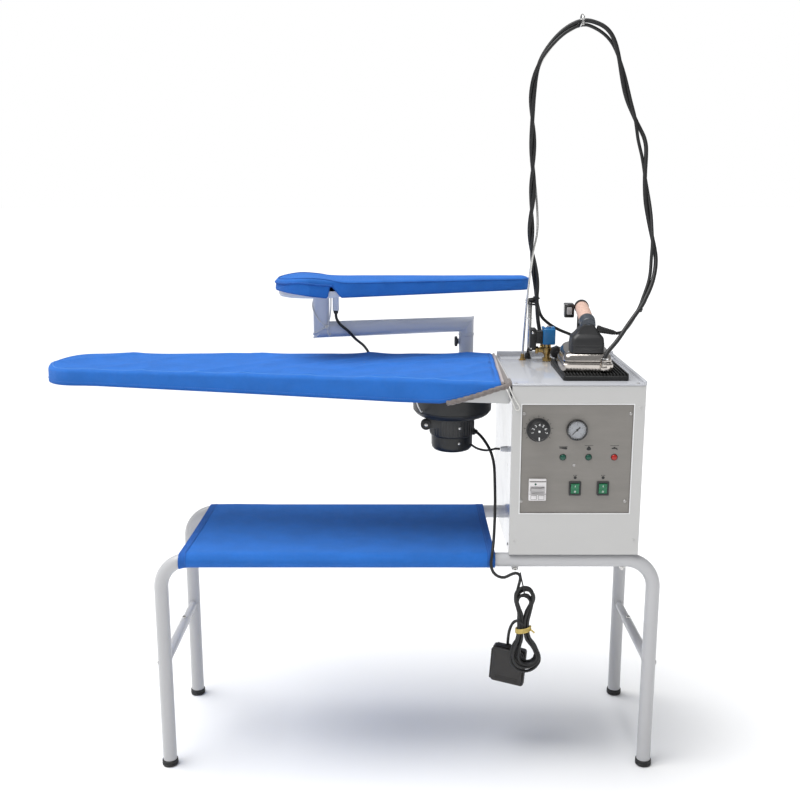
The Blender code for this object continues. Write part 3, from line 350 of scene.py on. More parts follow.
def lathe(profile, sides=48, at=(0, 0, 0), axis=(0, 0, 1), lobes=0, depth=0.0):
    """Turns a profile of (radius, height) points round an axis; lobes wave its radius."""
    rings = []
    for radius, height in profile:
        waved = [(radius * (1 + depth * cos(lobes * a)) if lobes else radius, a) for a in around(sides)]
        rings.append([(r * cos(a), r * sin(a), height) for r, a in waved])
    bm = skin(rings, caps=True, merge=1e-7)
    bm.transform(Matrix.Translation(at) @ Vector(axis).to_track_quat("Z", "Y").to_matrix().to_4x4())
    return bm


def bridge(bm, rings, closed=False):
    for lower, upper in zip(rings, rings[1:]):
        count = len(lower)
        for i in range(count if closed else count - 1):
            j = (i + 1) % count
            bm.faces.new((lower[i], lower[j], upper[j], upper[i]))


def ring_frames(points):
    """A direction across the line at each point that turns as little as it can."""
    tangents = []
    for i in range(len(points)):
        ahead, behind = points[min(i + 1, len(points) - 1)], points[max(i - 1, 0)]
        tangents.append((ahead - behind).normalized())
    across = tangents[0].orthogonal().normalized()
    frames = []
    for tangent in tangents:
        across = (across - tangent * across.dot(tangent)).normalized()
        frames.append((across, tangent.cross(across)))
    return frames


def sweep(points, radius, sides=12):
    """A round tube along points, closed at both ends."""
    points = [Vector(p) for p in points]
    return skin([[point + (u * cos(a) + v * sin(a)) * radius for a in around(sides)]
                 for point, (u, v) in zip(points, ring_frames(points))], caps=True)


def stack(outlines):
    """A closed form through outlines of the same number of points, each a list of (x, y, z)."""
    return skin(outlines, caps=True)


def ring_shape(radius, thick, at, axis, sides=40):
    """A ring of round section."""
    loop = [(radius + thick * cos(a), thick * sin(a)) for a in around(10)]
    bm = skin([[(r * cos(b), r * sin(b), z) for r, z in loop] for b in around(sides)], loop=True)
    bm.transform(Matrix.Translation(at) @ Vector(axis).to_track_quat("Z", "Y").to_matrix().to_4x4())
    return bm


def smooth(route, step):
    """Evenly spread points on a smooth curve through the route's own points."""
    knots = [Vector(p) for p in route]
    knots = [2 * knots[0] - knots[1], *knots, 2 * knots[-1] - knots[-2]]
    points = []
    for a, b, c, d in zip(knots, knots[1:], knots[2:], knots[3:]):
        count = max(1, round((c - b).length / step))
        for i in range(count):
            t = i / count
            points.append(0.5 * (2 * b + (c - a) * t + (2 * a - 5 * b + 4 * c - d) * t * t
                                 + (3 * b - a - 3 * c + d) * t * t * t))
    return points + [knots[-2]]


def line_length(points):
    return sum((b - a).length for a, b in zip(points, points[1:]))


def arc(centre, radius, first, last, count):
    angles = [radians(first + (last - first) * i / count) for i in range(count + 1)]
    return [(centre[0] + radius * cos(a), centre[1] + radius * sin(a)) for a in angles]


def resample(outline, step):
    """The closed outline again, with points about step apart."""
    points = [Vector(p) for p in outline]
    points.append(points[0])
    total = line_length(points)
    count = max(8, round(total / step))
    found, at, walked = [], 0, 0.0
    for i in range(count):
        goal = total * i / count
        while walked + (points[at + 1] - points[at]).length < goal:
            walked += (points[at + 1] - points[at]).length
            at += 1
        leg = points[at + 1] - points[at]
        found.append(points[at] + leg * ((goal - walked) / max(leg.length, 1e-9)))
    return found


def inset(outline, distance):
    """Moves each point of a closed anticlockwise outline inward."""
    moved = []
    for i, point in enumerate(outline):
        along = outline[(i + 1) % len(outline)] - outline[i - 1]
        moved.append(point + Vector((-along.y, along.x)).normalized() * distance)
    return moved


def rounded_corners(outline, radii):
    """Replaces each corner of an outline by an arc-like curve of about its radius."""
    points = []
    for i, (corner, radius) in enumerate(zip(outline, radii)):
        here = Vector(corner)
        if not radius:
            points.append(here)
            continue
        before = (Vector(outline[i - 1]) - here).normalized() * radius
        after = (Vector(outline[(i + 1) % len(outline)]) - here).normalized() * radius
        for k in range(7):
            t = k / 6
            points.append((here + before) * (1 - t) ** 2 + here * 2 * t * (1 - t) + (here + after) * t ** 2)
    return points


def piece(name, shapes, finish, body="root", place=STATION, stands_for=(), sharp=35):
    """One piece of the object from several shapes, riding on a body."""
    bm = bmesh.new()
    for shape in shapes:
        part = bpy.data.meshes.new("part")
        shape.to_mesh(part)
        shape.free()
        bm.from_mesh(part)
        bpy.data.meshes.remove(part)
    bm.transform(place)
    mesh = bpy.data.meshes.new(name)
    bm.to_mesh(mesh)
    bm.free()
    mesh.polygons.foreach_set("use_smooth", [True] * len(mesh.polygons))
    mesh.set_sharp_from_angle(angle=radians(sharp))
    mesh.materials.append(LOOKS[finish])
    obj = bpy.data.objects.new(name, mesh)
    bpy.context.scene.collection.objects.link(obj)
    if body:
        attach(obj, body)
    if stands_for:
        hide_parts(*stands_for)
    return obj


def screw_head(at, axis, radius=0.0035, height=0.0016):
    """A round screw head with a shallow round recess in its top."""
    axis = Vector(axis).normalized()
    at = Vector(at)
    dome = [(radius, 0), (radius, height * 0.4), (radius * 0.8, height * 0.8), (radius * 0.35, height),
            (radius * 0.30, height * 0.62), (0, height * 0.62)]
    return lathe(dome, 20, at, axis)


def nut(at, axis, radius, height):
    """A hexagon that stands on a point along an axis."""
    at, axis = Vector(at), Vector(axis).normalized()
    return rod(at, at + axis * height, radius, None, 6, bevel=radius * 0.08)


def prism(outline, near, far, bevel=0.0):
    """An outline of (x, z) points as a plate that stands between two depths."""
    back = [(x, far, z) for x, z in outline]
    front = [(x, near, z) for x, z in outline]
    if not bevel:
        return stack([back, front])
    small = inset([Vector(p) for p in outline], bevel)
    return stack([back, [(x, near + bevel, z) for x, z in outline], [(p.x, near, p.y) for p in small]])


def round_rect(low, high, radius, count=5):
    (x0, z0), (x1, z1) = low, high
    corners = [((x1 - radius, z0 + radius), -90), ((x1 - radius, z1 - radius), 0),
               ((x0 + radius, z1 - radius), 90), ((x0 + radius, z0 + radius), 180)]
    return [p for centre, first in corners for p in arc(centre, radius, first, first + 90, count)]


FIGURE_DEPTH = 0.00015


def number_shape(text, size, matrix):
    """The figures of a scale as flat shapes that lie in a plane set by matrix."""
    curve = bpy.data.curves.new("figures", "FONT")
    curve.body = text
    curve.size = size
    curve.extrude = FIGURE_DEPTH
    curve.align_x, curve.align_y = "CENTER", "CENTER"
    holder = bpy.data.objects.new("figures", curve)
    bpy.context.scene.collection.objects.link(holder)
    bpy.context.view_layer.update()
    mesh = bpy.data.meshes.new_from_object(holder.evaluated_get(bpy.context.evaluated_depsgraph_get()))
    bm = bmesh.new()
    bm.from_mesh(mesh)
    bpy.data.meshes.remove(mesh)
    bpy.data.objects.remove(holder)
    bpy.data.curves.remove(curve)
    bm.transform(matrix)
    return bm


# ---------------------------------------------------------------- cords

HOSE_D, IRON_CABLE_D, PEDAL_D, SLEEVE_CABLE_D, FAN_D, VALVE_D = 0.009, 0.007, 0.0064, 0.0064, 0.005, 0.0044
# Routes of the cords. The hose and the iron's cable share BUNDLE, the middle line of their pair.
BUNDLE = [
    (0.299, 0.292, 0.995), (0.295, 0.284, 1.040), (0.287, 0.270, 1.080), (0.279, 0.257, 1.120),
    (0.276, 0.250, 1.180), (0.277, 0.250, 1.245), (0.275, 0.250, 1.354), (0.2715, 0.250, 1.450),
    (0.286, 0.250, 1.517), (0.327, 0.250, 1.571), (0.373, 0.250, 1.596), (0.411, 0.245, 1.586),
    (0.436, 0.240, 1.562), (0.453, 0.235, 1.520), (0.472, 0.225, 1.444), (0.489, 0.218, 1.396),
    (0.506, 0.206, 1.338), (0.510, 0.190, 1.271), (0.513, 0.175, 1.227), (0.518, 0.155, 1.177),
    (0.522, 0.130, 1.116), (0.513, 0.105, 1.062), (0.486, 0.080, 1.004),
]
HOSE_START = [(0.311, 0.2725, 0.9002), (0.3107, 0.2733, 0.913), (0.305, 0.2810, 0.935),
              (0.301, 0.2845, 0.962)]
HOSE_END = [(0.459, 0.060, 0.974), (0.436, 0.047, 0.944), (0.4125, 0.0325, 0.920), (0.4062, 0.0289, 0.9052)]
CABLE_START = [
    (0.425, 0.296, 0.8790), (0.425, 0.296, 0.889), (0.407, 0.295, 0.906), (0.379, 0.294, 0.919),
    (0.350, 0.294, 0.931), (0.326, 0.295, 0.946), (0.309, 0.296, 0.965),
]
CABLE_END = [(0.473, 0.079, 0.983), (0.460, 0.073, 0.966), (0.4485, 0.066, 0.958), (0.4355, 0.0610, 0.9565)]
# Where the pair crosses (x, z), where it stands wider (x, z, by how much), and which crossings are tied.
CROSSINGS = [
    (0.298, 1.004), (0.280, 1.120), (0.2765, 1.205), (0.275, 1.294), (0.274, 1.404), (0.287, 1.518),
    (0.448, 1.535),
    (0.485, 1.405), (0.511, 1.283), (0.519, 1.160), (0.4875, 1.006),
]
LOOSE = [(0.423, 1.577, 0.0034), (0.498, 1.355, 0.0036), (0.521, 1.120, 0.0030)]
BANDS = (0, 10)
PEDAL_CABLE = [
    (0.1500, 0.139, 0.729), (0.166, 0.121, 0.716), (0.181, 0.100, 0.694), (0.188, 0.080, 0.668),
    (0.189, 0.060, 0.630), (0.188, 0.034, 0.580), (0.184, 0.006, 0.526), (0.179, -0.017, 0.500),
    (0.1765, -0.0235, 0.478), (0.182, -0.0235, 0.461), (0.193, -0.0225, 0.4515), (0.206, -0.0210, 0.4490),
    (0.218, -0.019, 0.4540), (0.229, -0.017, 0.4570), (0.2375, -0.0145, 0.4525), (0.2400, -0.0130, 0.4425),
]
PEDAL_LEAD = [
    (0.2480, -0.0200, 0.340), (0.2420, -0.0215, 0.348), (0.2345, -0.0190, 0.350), (0.2270, -0.0110, 0.341),
    (0.2222, 0.0020, 0.321), (0.2210, 0.0160, 0.298), (0.2218, 0.0300, 0.279), (0.2221, 0.0346, 0.2690),
]
SLEEVE_CABLE = [
    (-0.1625, 0.2947, 0.9695), (-0.1615, 0.2928, 0.957), (-0.1525, 0.2885, 0.943), (-0.1350, 0.2890, 0.928),
    (-0.1180, 0.3080, 0.906), (-0.1000, 0.3420, 0.884), (-0.0880, 0.3640, 0.860), (-0.0750, 0.3780, 0.820),
    (-0.0500, 0.3850, 0.780), (-0.0150, 0.3880, 0.765), (0.0150, 0.3760, 0.760), (0.0330, 0.3480, 0.770),
    (0.0400, 0.3280, 0.790), (0.0400, 0.3250, 0.8065),
]
FAN_CABLE = [
    (0.1425, 0.131, 0.698), (0.156, 0.133, 0.689), (0.174, 0.125, 0.687), (0.187, 0.100, 0.696),
    (0.1905, 0.0760, 0.7040), (0.1992, 0.0702, 0.705),
]
VALVE_CABLE = [
    (0.2900, 0.254, 0.9000), (0.2885, 0.256, 0.8920), (0.2850, 0.265, 0.8860), (0.2810, 0.278, 0.8885),
    (0.2800, 0.283, 0.8850), (0.2800, 0.283, 0.8784),
]
# Where the pair passes from the station to the iron, between start and end; add_cord uses none of these
# values and leaves the cord on no body.
BEND = dict(a="root", b="iron", start=ORIGIN + Vector((0.5, 0.215, 1.2)),
            end=ORIGIN + Vector((0.5, 0.07, 1.2)))


def bundle_run():
    """(middle, tangent, half the way between the strands) along two strands that cross again and again."""
    line = smooth(BUNDLE, 0.009)

    def nearest(x, z):
        return min(range(len(line)), key=lambda i: (line[i].x - x) ** 2 + (line[i].z - z) ** 2)

    walked = [0.0]
    for a, b in zip(line, line[1:]):
        walked.append(walked[-1] + (b - a).length)
    knots = [nearest(x, z) for x, z in CROSSINGS]
    slack = [(walked[nearest(x, z)], wide) for x, z, wide in LOOSE]
    run = []
    for i, point in enumerate(line):
        tangent = (line[min(i + 1, len(line) - 1)] - line[max(i - 1, 0)]).normalized()
        across = (Vector((0, 1, 0)) - tangent * tangent.y).normalized()
        beside = tangent.cross(across)
        passed = max([k for k, knot in enumerate(knots) if knot <= i], default=0)
        after = min(passed + 1, len(knots) - 1)
        span = walked[knots[after]] - walked[knots[passed]]
        part = min(1.0, max(0.0, (walked[i] - walked[knots[passed]]) / span)) if span else 0.0
        angle = pi * (passed + part)
        apart = 0.0041 + sum(wide * exp(-((walked[i] - at) / 0.036) ** 2) for at, wide in slack)
        apart += 0.0004 * noise.noise(point * 14)
        run.append((point, tangent, (across * cos(angle) + beside * sin(angle)) * apart))
    return run, knots


def add_cord(name, path, diameter, stands_for, body="root", blend=None, finish="rubber",
             sides=14):
    """A round cord along path; given blend, it rides on no body."""
    obj = piece(name, [sweep(path, diameter / 2, sides)], finish, None if blend else body,
                stands_for=stands_for, sharp=60)
    if blend:
        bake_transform(obj)
    return obj


def tie_band(point, tangent, side, hose_r, cable_r, width=0.0042, thick=0.0009):
    """A band pulled round two strands, whose centres lie on the two sides of point."""
    u = side.normalized()
    v = tangent.cross(u)
    hose, cable = point - side * (cable_r / hose_r) ** 0.5, point + side
    outlines = []
    for shift, grow in ((-0.5, 0.0), (-0.5, 1.0), (0.5, 1.0), (0.5, 0.0)):
        ring = []
        for i in range(28):
            a = tau * i / 28
            centre, radius = (cable, cable_r) if cos(a) > 0 else (hose, hose_r)
            way = u * cos(a) + v * sin(a)
            ring.append(centre + way * (radius + thick * grow) + tangent * shift * width)
        outlines.append(ring)
    lock = box((-0.0024, -0.0022, -0.0026), (0.0024, 0.0022, 0.0026), 0.0006)
    turn = Matrix((u, v, tangent)).transposed().to_4x4()
    lock.transform(Matrix.Translation(cable + v * (cable_r + 0.0014)) @ turn)
    return [stack(outlines), lock]


def make_bundle():
    run, knots = bundle_run()
    hose = [point - side * (IRON_CABLE_D / HOSE_D) ** 0.5 for point, _, side in run]
    cable = [point + side for point, _, side in run]
    hose_path = smooth(HOSE_START + hose[1:-1:2] + HOSE_END, 0.007)
    cable_path = smooth(CABLE_START + cable[1:-1:2] + CABLE_END, 0.007)
    add_cord("steam_hose_look", hose_path, HOSE_D, ["steam_hose"], blend=BEND)
    add_cord("iron_cable_look", cable_path, IRON_CABLE_D, ["iron_cable"], blend=BEND)
    bands = [shape for k in BANDS for shape in tie_band(*run[knots[k]], HOSE_D / 2, IRON_CABLE_D / 2)]
    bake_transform(piece("bundle_ties", bands, "rubber", None))


def make_mast():
    centre = Vector(BUNDLE[10])
    hook = [centre + Vector((0, 0.0155 * cos(a), 0.0155 * sin(a)))
            for a in (radians(d) for d in range(-8, 200, 8))]
    mast = [(0.266, 0.264, 0.8700), (0.268, 0.258, 0.930), (0.2705, 0.249, 0.990), (0.2735, 0.238, 1.046),
            (0.2790, 0.232, 1.105), (0.2880, 0.238, 1.150), (0.2900, 0.252, 1.190), (0.2870, 0.266, 1.240),
            (0.2800, 0.271, 1.300), (0.2760, 0.271, 1.380), (0.2750, 0.270, 1.450), (0.2890, 0.269, 1.513),
            (0.3280, 0.268, 1.566), (0.3700, 0.2655, 1.5925)]
    foot = Vector(mast[0])
    line = smooth(mast, 0.012)
    curl = smooth([line[-1]] + hook[2:], 0.006)
    piece("mast_wire", [sweep(line + curl[1:], 0.0025, 12),
                        lathe([(0, 0), (0.0030, 0), (0.0034, 0.006), (0, 0.007)],
                                                                  16, hook[-1] - Vector((0, 0, 0.003)))],
          "steel", stands_for=["mast_rod"])
    piece("mast_foot", [nut(foot + Vector((0, 0, -0.0050)), (0, 0, 1), 0.0062, 0.006),
                        lathe([(0.0045, 0), (0.0045, 0.005), (0.0032, 0.008), (0, 0.008)], 20,
                              foot + Vector((0, 0, 0.001))),
                        lathe([(0, 0), (0.0085, 0), (0.0085, 0.0008), (0, 0.0008)], 28,
                              foot + Vector((0, 0, -0.0053)))],
          "brass")
    x, y = 0.286, 0.306
    base = node_high("cabinet_top").z - 0.010 + 0.0003
    piece("hose_post_look", [rod((x, y, base), (x, y, 0.998), 0.0050, None, 28, 0.0012),
                             nut((x, y, base), (0, 0, 1), 0.0085, 0.006),
                             ring_shape(0.0056, 0.0010, (x, y, 0.955),
                                                                                    (0, 0, 1), 28)],
          "steel", stands_for=["hose_post"])
    straps = []
    for height in (0.9905, 0.9955, 1.000):
        loop = [(x + 0.0135 * cos(a) + 0.0035, y + 0.0105 * sin(a) - 0.0060, height
                 + 0.0022 * sin(a + height * 900)) for a in around(26, True)]
        straps.append(sweep(loop, 0.0021, 8))
    straps.append(rod((x + 0.012, y - 0.010, 0.997), (x + 0.019, y - 0.020, 1.004), 0.0018, 0.0012, 8))
    piece("post_strap", straps, "rubber")
    x, y, z = BUNDLE[10]
    clip = [ring_shape(0.0095, 0.0012, (x - 0.002, y, z - 0.001), (1, 0.05, -0.35), 28),
            box((x - 0.006, y - 0.0125, z + 0.004), (x + 0.004, y - 0.0085, z + 0.013), 0.001)]
    piece("mast_clip", clip, "bright_steel")


HANK_X, HANK_Y = 0.2492, -0.0130


def eased(value, start, end):
    """0 at start, 1 at end, with a soft way between."""
    t = min(1.0, max(0.0, (value - start) / (end - start)))
    return t * t * (3 - 2 * t)


def hank_place(turn, side, height):
    """Where one run of the coil lies at a height; side is -1 for the runs down and 1 for the runs up."""
    column, row = (1.5, 0.5)[turn // 3], (0, -1, 1)[turn % 3]
    tied = Vector((HANK_X + side * column * 0.0062, HANK_Y + row * 0.0060))
    above = Vector((HANK_X + side * (0.0178 - 0.0022 * (turn // 3)), HANK_Y + row * 0.0062))
    reach = 0.0260 - 0.0040 * turn if side < 0 else 0.0366 - 0.0016 * turn
    below = Vector((HANK_X + side * reach, HANK_Y + row * 0.0062))
    if side > 0 and turn == 2:
        above.x += 0.0045
    flat = tied.lerp(above, eased(height, 0.352, 0.400)).lerp(below, eased(height, 0.322, 0.268))
    return Vector((flat.x, flat.y, height))


def fold(start, end, lift):
    """Points of a half turn between two runs, above or below both ends."""
    middle, out = (start + end) / 2, (start - end) / 2
    rise = Vector((0, 0, lift * out.length))
    return [middle + out * cos(a) + rise * sin(a)
            for a in (pi * k / 6 for k in range(1, 6))]


def hank_route():
    """Six turns of the coil from the clip, then out over the tie towards the pedal."""
    wander = random.Random(11)
    floors = (0.2613, 0.2700, 0.2722, 0.2699, 0.2681, 0.2674)
    heads = (0.4068, 0.4020, 0.3970, 0.3930, 0.3890)
    points = []
    for turn, floor in enumerate(floors):
        head = heads[turn - 1] if turn else 0.4000
        down = [hank_place(turn, -1, z) for z in (head, 0.386, 0.366, 0.346, 0.326, 0.308, 0.290, floor)]
        up = [hank_place(turn, 1, z) for z in (floor, 0.290, 0.308, 0.326)]
        if turn < 5:
            up += [hank_place(turn, 1, z) for z in (0.346, 0.366, 0.386, heads[turn])]
        for run in (down, up):
            for point in run[1:-1]:
                if not 0.312 < point.z < 0.345:
                    point += Vector([wander.uniform(-0.0011, 0.0011) for _ in "xyz"])
        points += down + fold(down[-1], up[0], -1) + up
        if turn < 5:
            points += fold(up[-1], hank_place(turn + 1, -1, heads[turn]), 1)
    return points


def make_pedal_cord():
    route = [Vector(p) for p in PEDAL_CABLE] + [Vector((0.2360, -0.0140, 0.424))]
    path = smooth(route + hank_route() + [Vector(p) for p in PEDAL_LEAD], 0.006)
    add_cord("pedal_cord", path, PEDAL_D, ["pedal_cable", "cord_hank"],
             sides=12)
    wraps = []
    for turn in range(4):
        loop = []
        for i in range(25):
            a = tau * i / 24
            loop.append((HANK_X + 0.0158 * cos(a), HANK_Y + 0.0118 * sin(a),
                         0.3225 + 0.0025 * (turn + i / 24) + 0.0028 * cos(a)))
        wraps.append(sweep(loop, 0.0016, 8))
    for phase in (0.0, pi):
        twist = [(0.2640 + 0.008 * t, -0.0200 - 0.003 * t + 0.0013 * cos(9 * t + phase),
                  0.3300 - 0.006 * t + 0.0013 * sin(9 * t + phase)) for t in (i / 16 for i in range(17))]
        wraps.append(sweep(twist, 0.0011, 8))
    piece("hank_tie", wraps, "tie_yellow")
    hanger = smooth([(0.2385, -0.0165, 0.4560), (0.2430, -0.0215, 0.4400), (0.2470, -0.0235, 0.4200),
                     (0.2500, -0.0165, 0.4080), (0.2500, -0.0040, 0.4090), (0.2460, -0.0010, 0.4300),
                     (0.2405, -0.0070, 0.4540)], 0.006)
    piece("hank_hanger", [sweep(hanger, 0.0014, 8)], "rubber")


# ---------------------------------------------------------------- stand

def frame_line(depth):
    bend = 0.062
    left = arc((bend - STAND_HALF, BAR_Z - bend), bend, 180, 90, 14)
    right = arc((STAND_HALF - bend, BAR_Z - bend), bend, 90, 0, 14)
    foot = node_high("foot_front_left").z + 0.0003
    return [Vector((x, depth, z)) for x, z in [(-STAND_HALF, foot), *left, *right, (STAND_HALF, foot)]]


def make_stand():
    rail, joint = 0.245, 0.226
    front = [sweep(frame_line(0), TUBE_R, 32)]
    back = [sweep(frame_line(STAND_DEPTH), TUBE_R, 32)]
    bolts = []
    for x in (-STAND_HALF, STAND_HALF):
        front += [rod((x, 0, rail), (x, joint, rail), 0.011, None, 32, 0.0006),
                  ring_shape(0.0112, 0.0014, (x, TUBE_R - 0.001, rail), (0, 1, 0), 32)]
        back += [rod((x, joint - 0.04, rail), (x, STAND_DEPTH, rail), 0.0092, None, 32),
                 ring_shape(0.0096, 0.0014, (x, STAND_DEPTH - TUBE_R + 0.001, rail), (0, 1, 0), 32)]
        side = 1 if x > 0 else -1
        bolts += [nut((x, joint - 0.020, rail + 0.0105), (0, 0, 1), 0.0048, 0.0035),
                  screw_head((x + side * (TUBE_R - 0.0006), 0, rail), (side, 0, 0), 0.0055, 0.0022)]
    front.append(box((0.222, -0.0085, 0.4608), (0.236, 0.0105, BAR_Z), 0.0012))
    piece("front_tube", front, "frame_paint", stands_for=["front_frame"])
    piece("rear_tube", back, "frame_paint", stands_for=["rear_frame"])
    bolts += [nut((0.4573, 0, BAR_Z - TUBE_R - 0.0042), (0, 0, 1), 0.0062, 0.0048),
              rod((0.4573, 0, BAR_Z - TUBE_R - 0.0085), (0.4573, 0, BAR_Z - TUBE_R), 0.0030, None, 16,
                  0.0005),
              nut((0.4573, STAND_DEPTH, BAR_Z - TUBE_R - 0.0042), (0, 0, 1), 0.0062, 0.0048),
              screw_head((0.229, -0.0084, 0.4640), (0, -1, 0), 0.0042, 0.002)]
    piece("stand_bolts", bolts, "steel")
    for end, y in (("front", 0), ("rear", STAND_DEPTH)):
        for side, x in (("left", -STAND_HALF), ("right", STAND_HALF)):
            outer = TUBE_R + 0.0025
            cap = [(0, 0), (outer - 0.0030, 0), (outer - 0.0006, 0.0016), (outer, 0.0045), (outer, 0.0060),
                   (outer - 0.0010, 0.0068), (outer - 0.0010, 0.0080), (outer, 0.0088),
                   (outer - 0.0004, 0.0130),
                   (outer - 0.0016, 0.0140), (0, 0.0140)]
            piece(f"foot_cap_{end}_{side}", [lathe(cap, 40, (x, y, 0))], "rubber",
                  stands_for=[f"foot_{end}_{side}"])


def shelf_left(y):
    """The cloth's left edge: it reaches further out over the front bar than over the rear one."""
    return -0.4740 - 0.0090 * (1 - min(1.0, max(0.0, y / STAND_DEPTH)))


def bar_drop(x):
    """How far the bent end of a bar lies below its straight run."""
    past = max(0.0, -0.463 - x)
    return 0.062 - sqrt(0.062 ** 2 - past ** 2)


def make_shelf():
    """One cloth over both bars, hemmed at its two ends and stitched along its front edge."""
    left, right = -0.474, 0.186
    outer = TUBE_R + 0.0003 + 0.0020
    over_back = arc((STAND_DEPTH, BAR_Z), outer, -60, 90, 14)
    over_front = arc((0, BAR_Z), outer, 90, 240, 14)
    top_z = BAR_Z + outer
    flat = []
    for i in range(1, 28):
        t = i / 28
        flat.append((STAND_DEPTH * (1 - t), top_z - 0.0022 * sin(pi * t) ** 0.8))
    profile = [(y, z) for y, z in over_back] + flat + [(y, z) for y, z in over_front]
    columns = 90
    bm = bmesh.new()
    rows = []
    for i in range(columns + 1):
        part = i / columns
        row = []
        for y, z in profile:
            x = shelf_left(y) + (right - shelf_left(y)) * part
            spot = Vector((x * 5.0, y * 2.2, z * 3.0))
            ripple = 0.0011 * noise.noise(spot) + 0.0005 * noise.noise(spot * 4.1)
            fold = 0.0012 * exp(-((x - 0.1370) / 0.016) ** 2) * exp(-((y - 0.13) / 0.11) ** 2)
            edge = min(1.0, (x - left) / 0.02, (right - x) / 0.02)
            lift = (ripple * (0.35 + 0.65 * edge) + fold) * (1 if z > BAR_Z else 0.4)
            away = Vector((0, y - min(max(y, 0), STAND_DEPTH), z - BAR_Z)).normalized()
            row.append(bm.verts.new(Vector((x, y, z - bar_drop(x)))
                                    + away * (lift if lift > 0 or 0.03 < y < 0.29 else 0)))
        rows.append(row)
    bridge(bm, rows)
    bmesh.ops.recalc_face_normals(bm, faces=bm.faces)
    hems, threads = [], []
    for x0, x1 in ((0.0, 0.016), (right - left - 0.016, right - left)):
        def across(y, at):
            return shelf_left(y) + at if at < 0.1 else right + at - (right - left)

        strip = [[(across(y, at), y + (y - min(max(y, 0), STAND_DEPTH)) * 0.035,
                   z - bar_drop(across(y, at)) + (0.0007 if z > BAR_Z else -0.0002)) for y, z in profile]
                 for at in (x0 - 0.0006, x0 + 0.001, (x0 + x1) / 2, x1 - 0.001, x1)]
        hem = bmesh.new()
        bridge(hem, [[hem.verts.new(p) for p in line] for line in strip])
        hems.append(hem)
        for at in (x0 + 0.0025, x1 - 0.0020):
            line = [Vector((across(y, at), y + (y - min(max(y, 0), STAND_DEPTH)) * 0.05,
                            z - bar_drop(across(y, at)) + 0.0012)) for y, z in profile]
            threads += dashes(line, 0.0030, 0.0012, 0.00035)
    hem_z = BAR_Z - 0.0110
    front_y = -sqrt(outer ** 2 - 0.0110 ** 2) - 0.0006
    line = [Vector((left + (right - left) * i / 120, front_y, hem_z)) for i in range(121)]
    threads += dashes(line, 0.0034, 0.0014, 0.00035)
    cloth = piece("shelf_sheet", [bm], "blue_cloth", stands_for=["shelf_cloth"], sharp=80)
    hem = piece("shelf_hems", hems, "blue_hem", sharp=80)
    stitch = piece("shelf_stitches", threads, "thread", sharp=80)


def dashes(line, length, gap, radius):
    """Short threads laid along a line of points."""
    found, walked, start = [], 0.0, None
    spaced = []
    for a, b in zip(line, line[1:]):
        count = max(1, ceil((b - a).length / 0.001))
        spaced += [a + (b - a) * i / count for i in range(count)]
    pitch = length + gap
    previous = spaced[0]
    for point in spaced:
        walked += (point - previous).length
        previous = point
        phase = walked % pitch
        if phase < length and start is None:
            start = point
        elif phase >= length and start is not None:
            if (point - start).length > length * 0.5:
                found.append(rod(start, point, radius, None, 5))
            start = None
    return found


# ---------------------------------------------------------------- cabinet and its panel

# The cabinet's outer faces, the panel's two corners (x, z), and the y of the panel's face.
CAB_LEFT, CAB_RIGHT, CAB_FRONT, CAB_BACK, CAB_BOTTOM, CAB_TOP = 0.214, 0.486, -0.016, 0.330, 0.4975, 0.8645
PANEL_LOW, PANEL_HIGH = (0.2345, 0.5895), (0.4625, 0.8210)
FACE = -0.0148
TOWARDS = Vector((0, -1, 0))
INK = (FACE + 0.0001, FACE + 0.0004)


def framed(outer, inner, near, far, radius, bevel=0.0008):
    """A plate with a window, both with rounded corners, and soft front edges."""
    def ring(low, high, r, depth):
        return [(x, depth, z) for x, z in round_rect(low, high, r)]

    (ol, oh), (il, ih) = outer, inner
    shift = Vector((bevel, bevel))
    rings = [ring(ol, oh, radius, far), ring(ol, oh, radius, near + bevel),
             ring(Vector(ol) + shift, Vector(oh) - shift, radius, near),
             ring(Vector(il) - shift, Vector(ih) + shift, radius, near),
             ring(il, ih, radius, near + bevel), ring(il, ih, radius, far)]
    return skin(rings, loop=True)


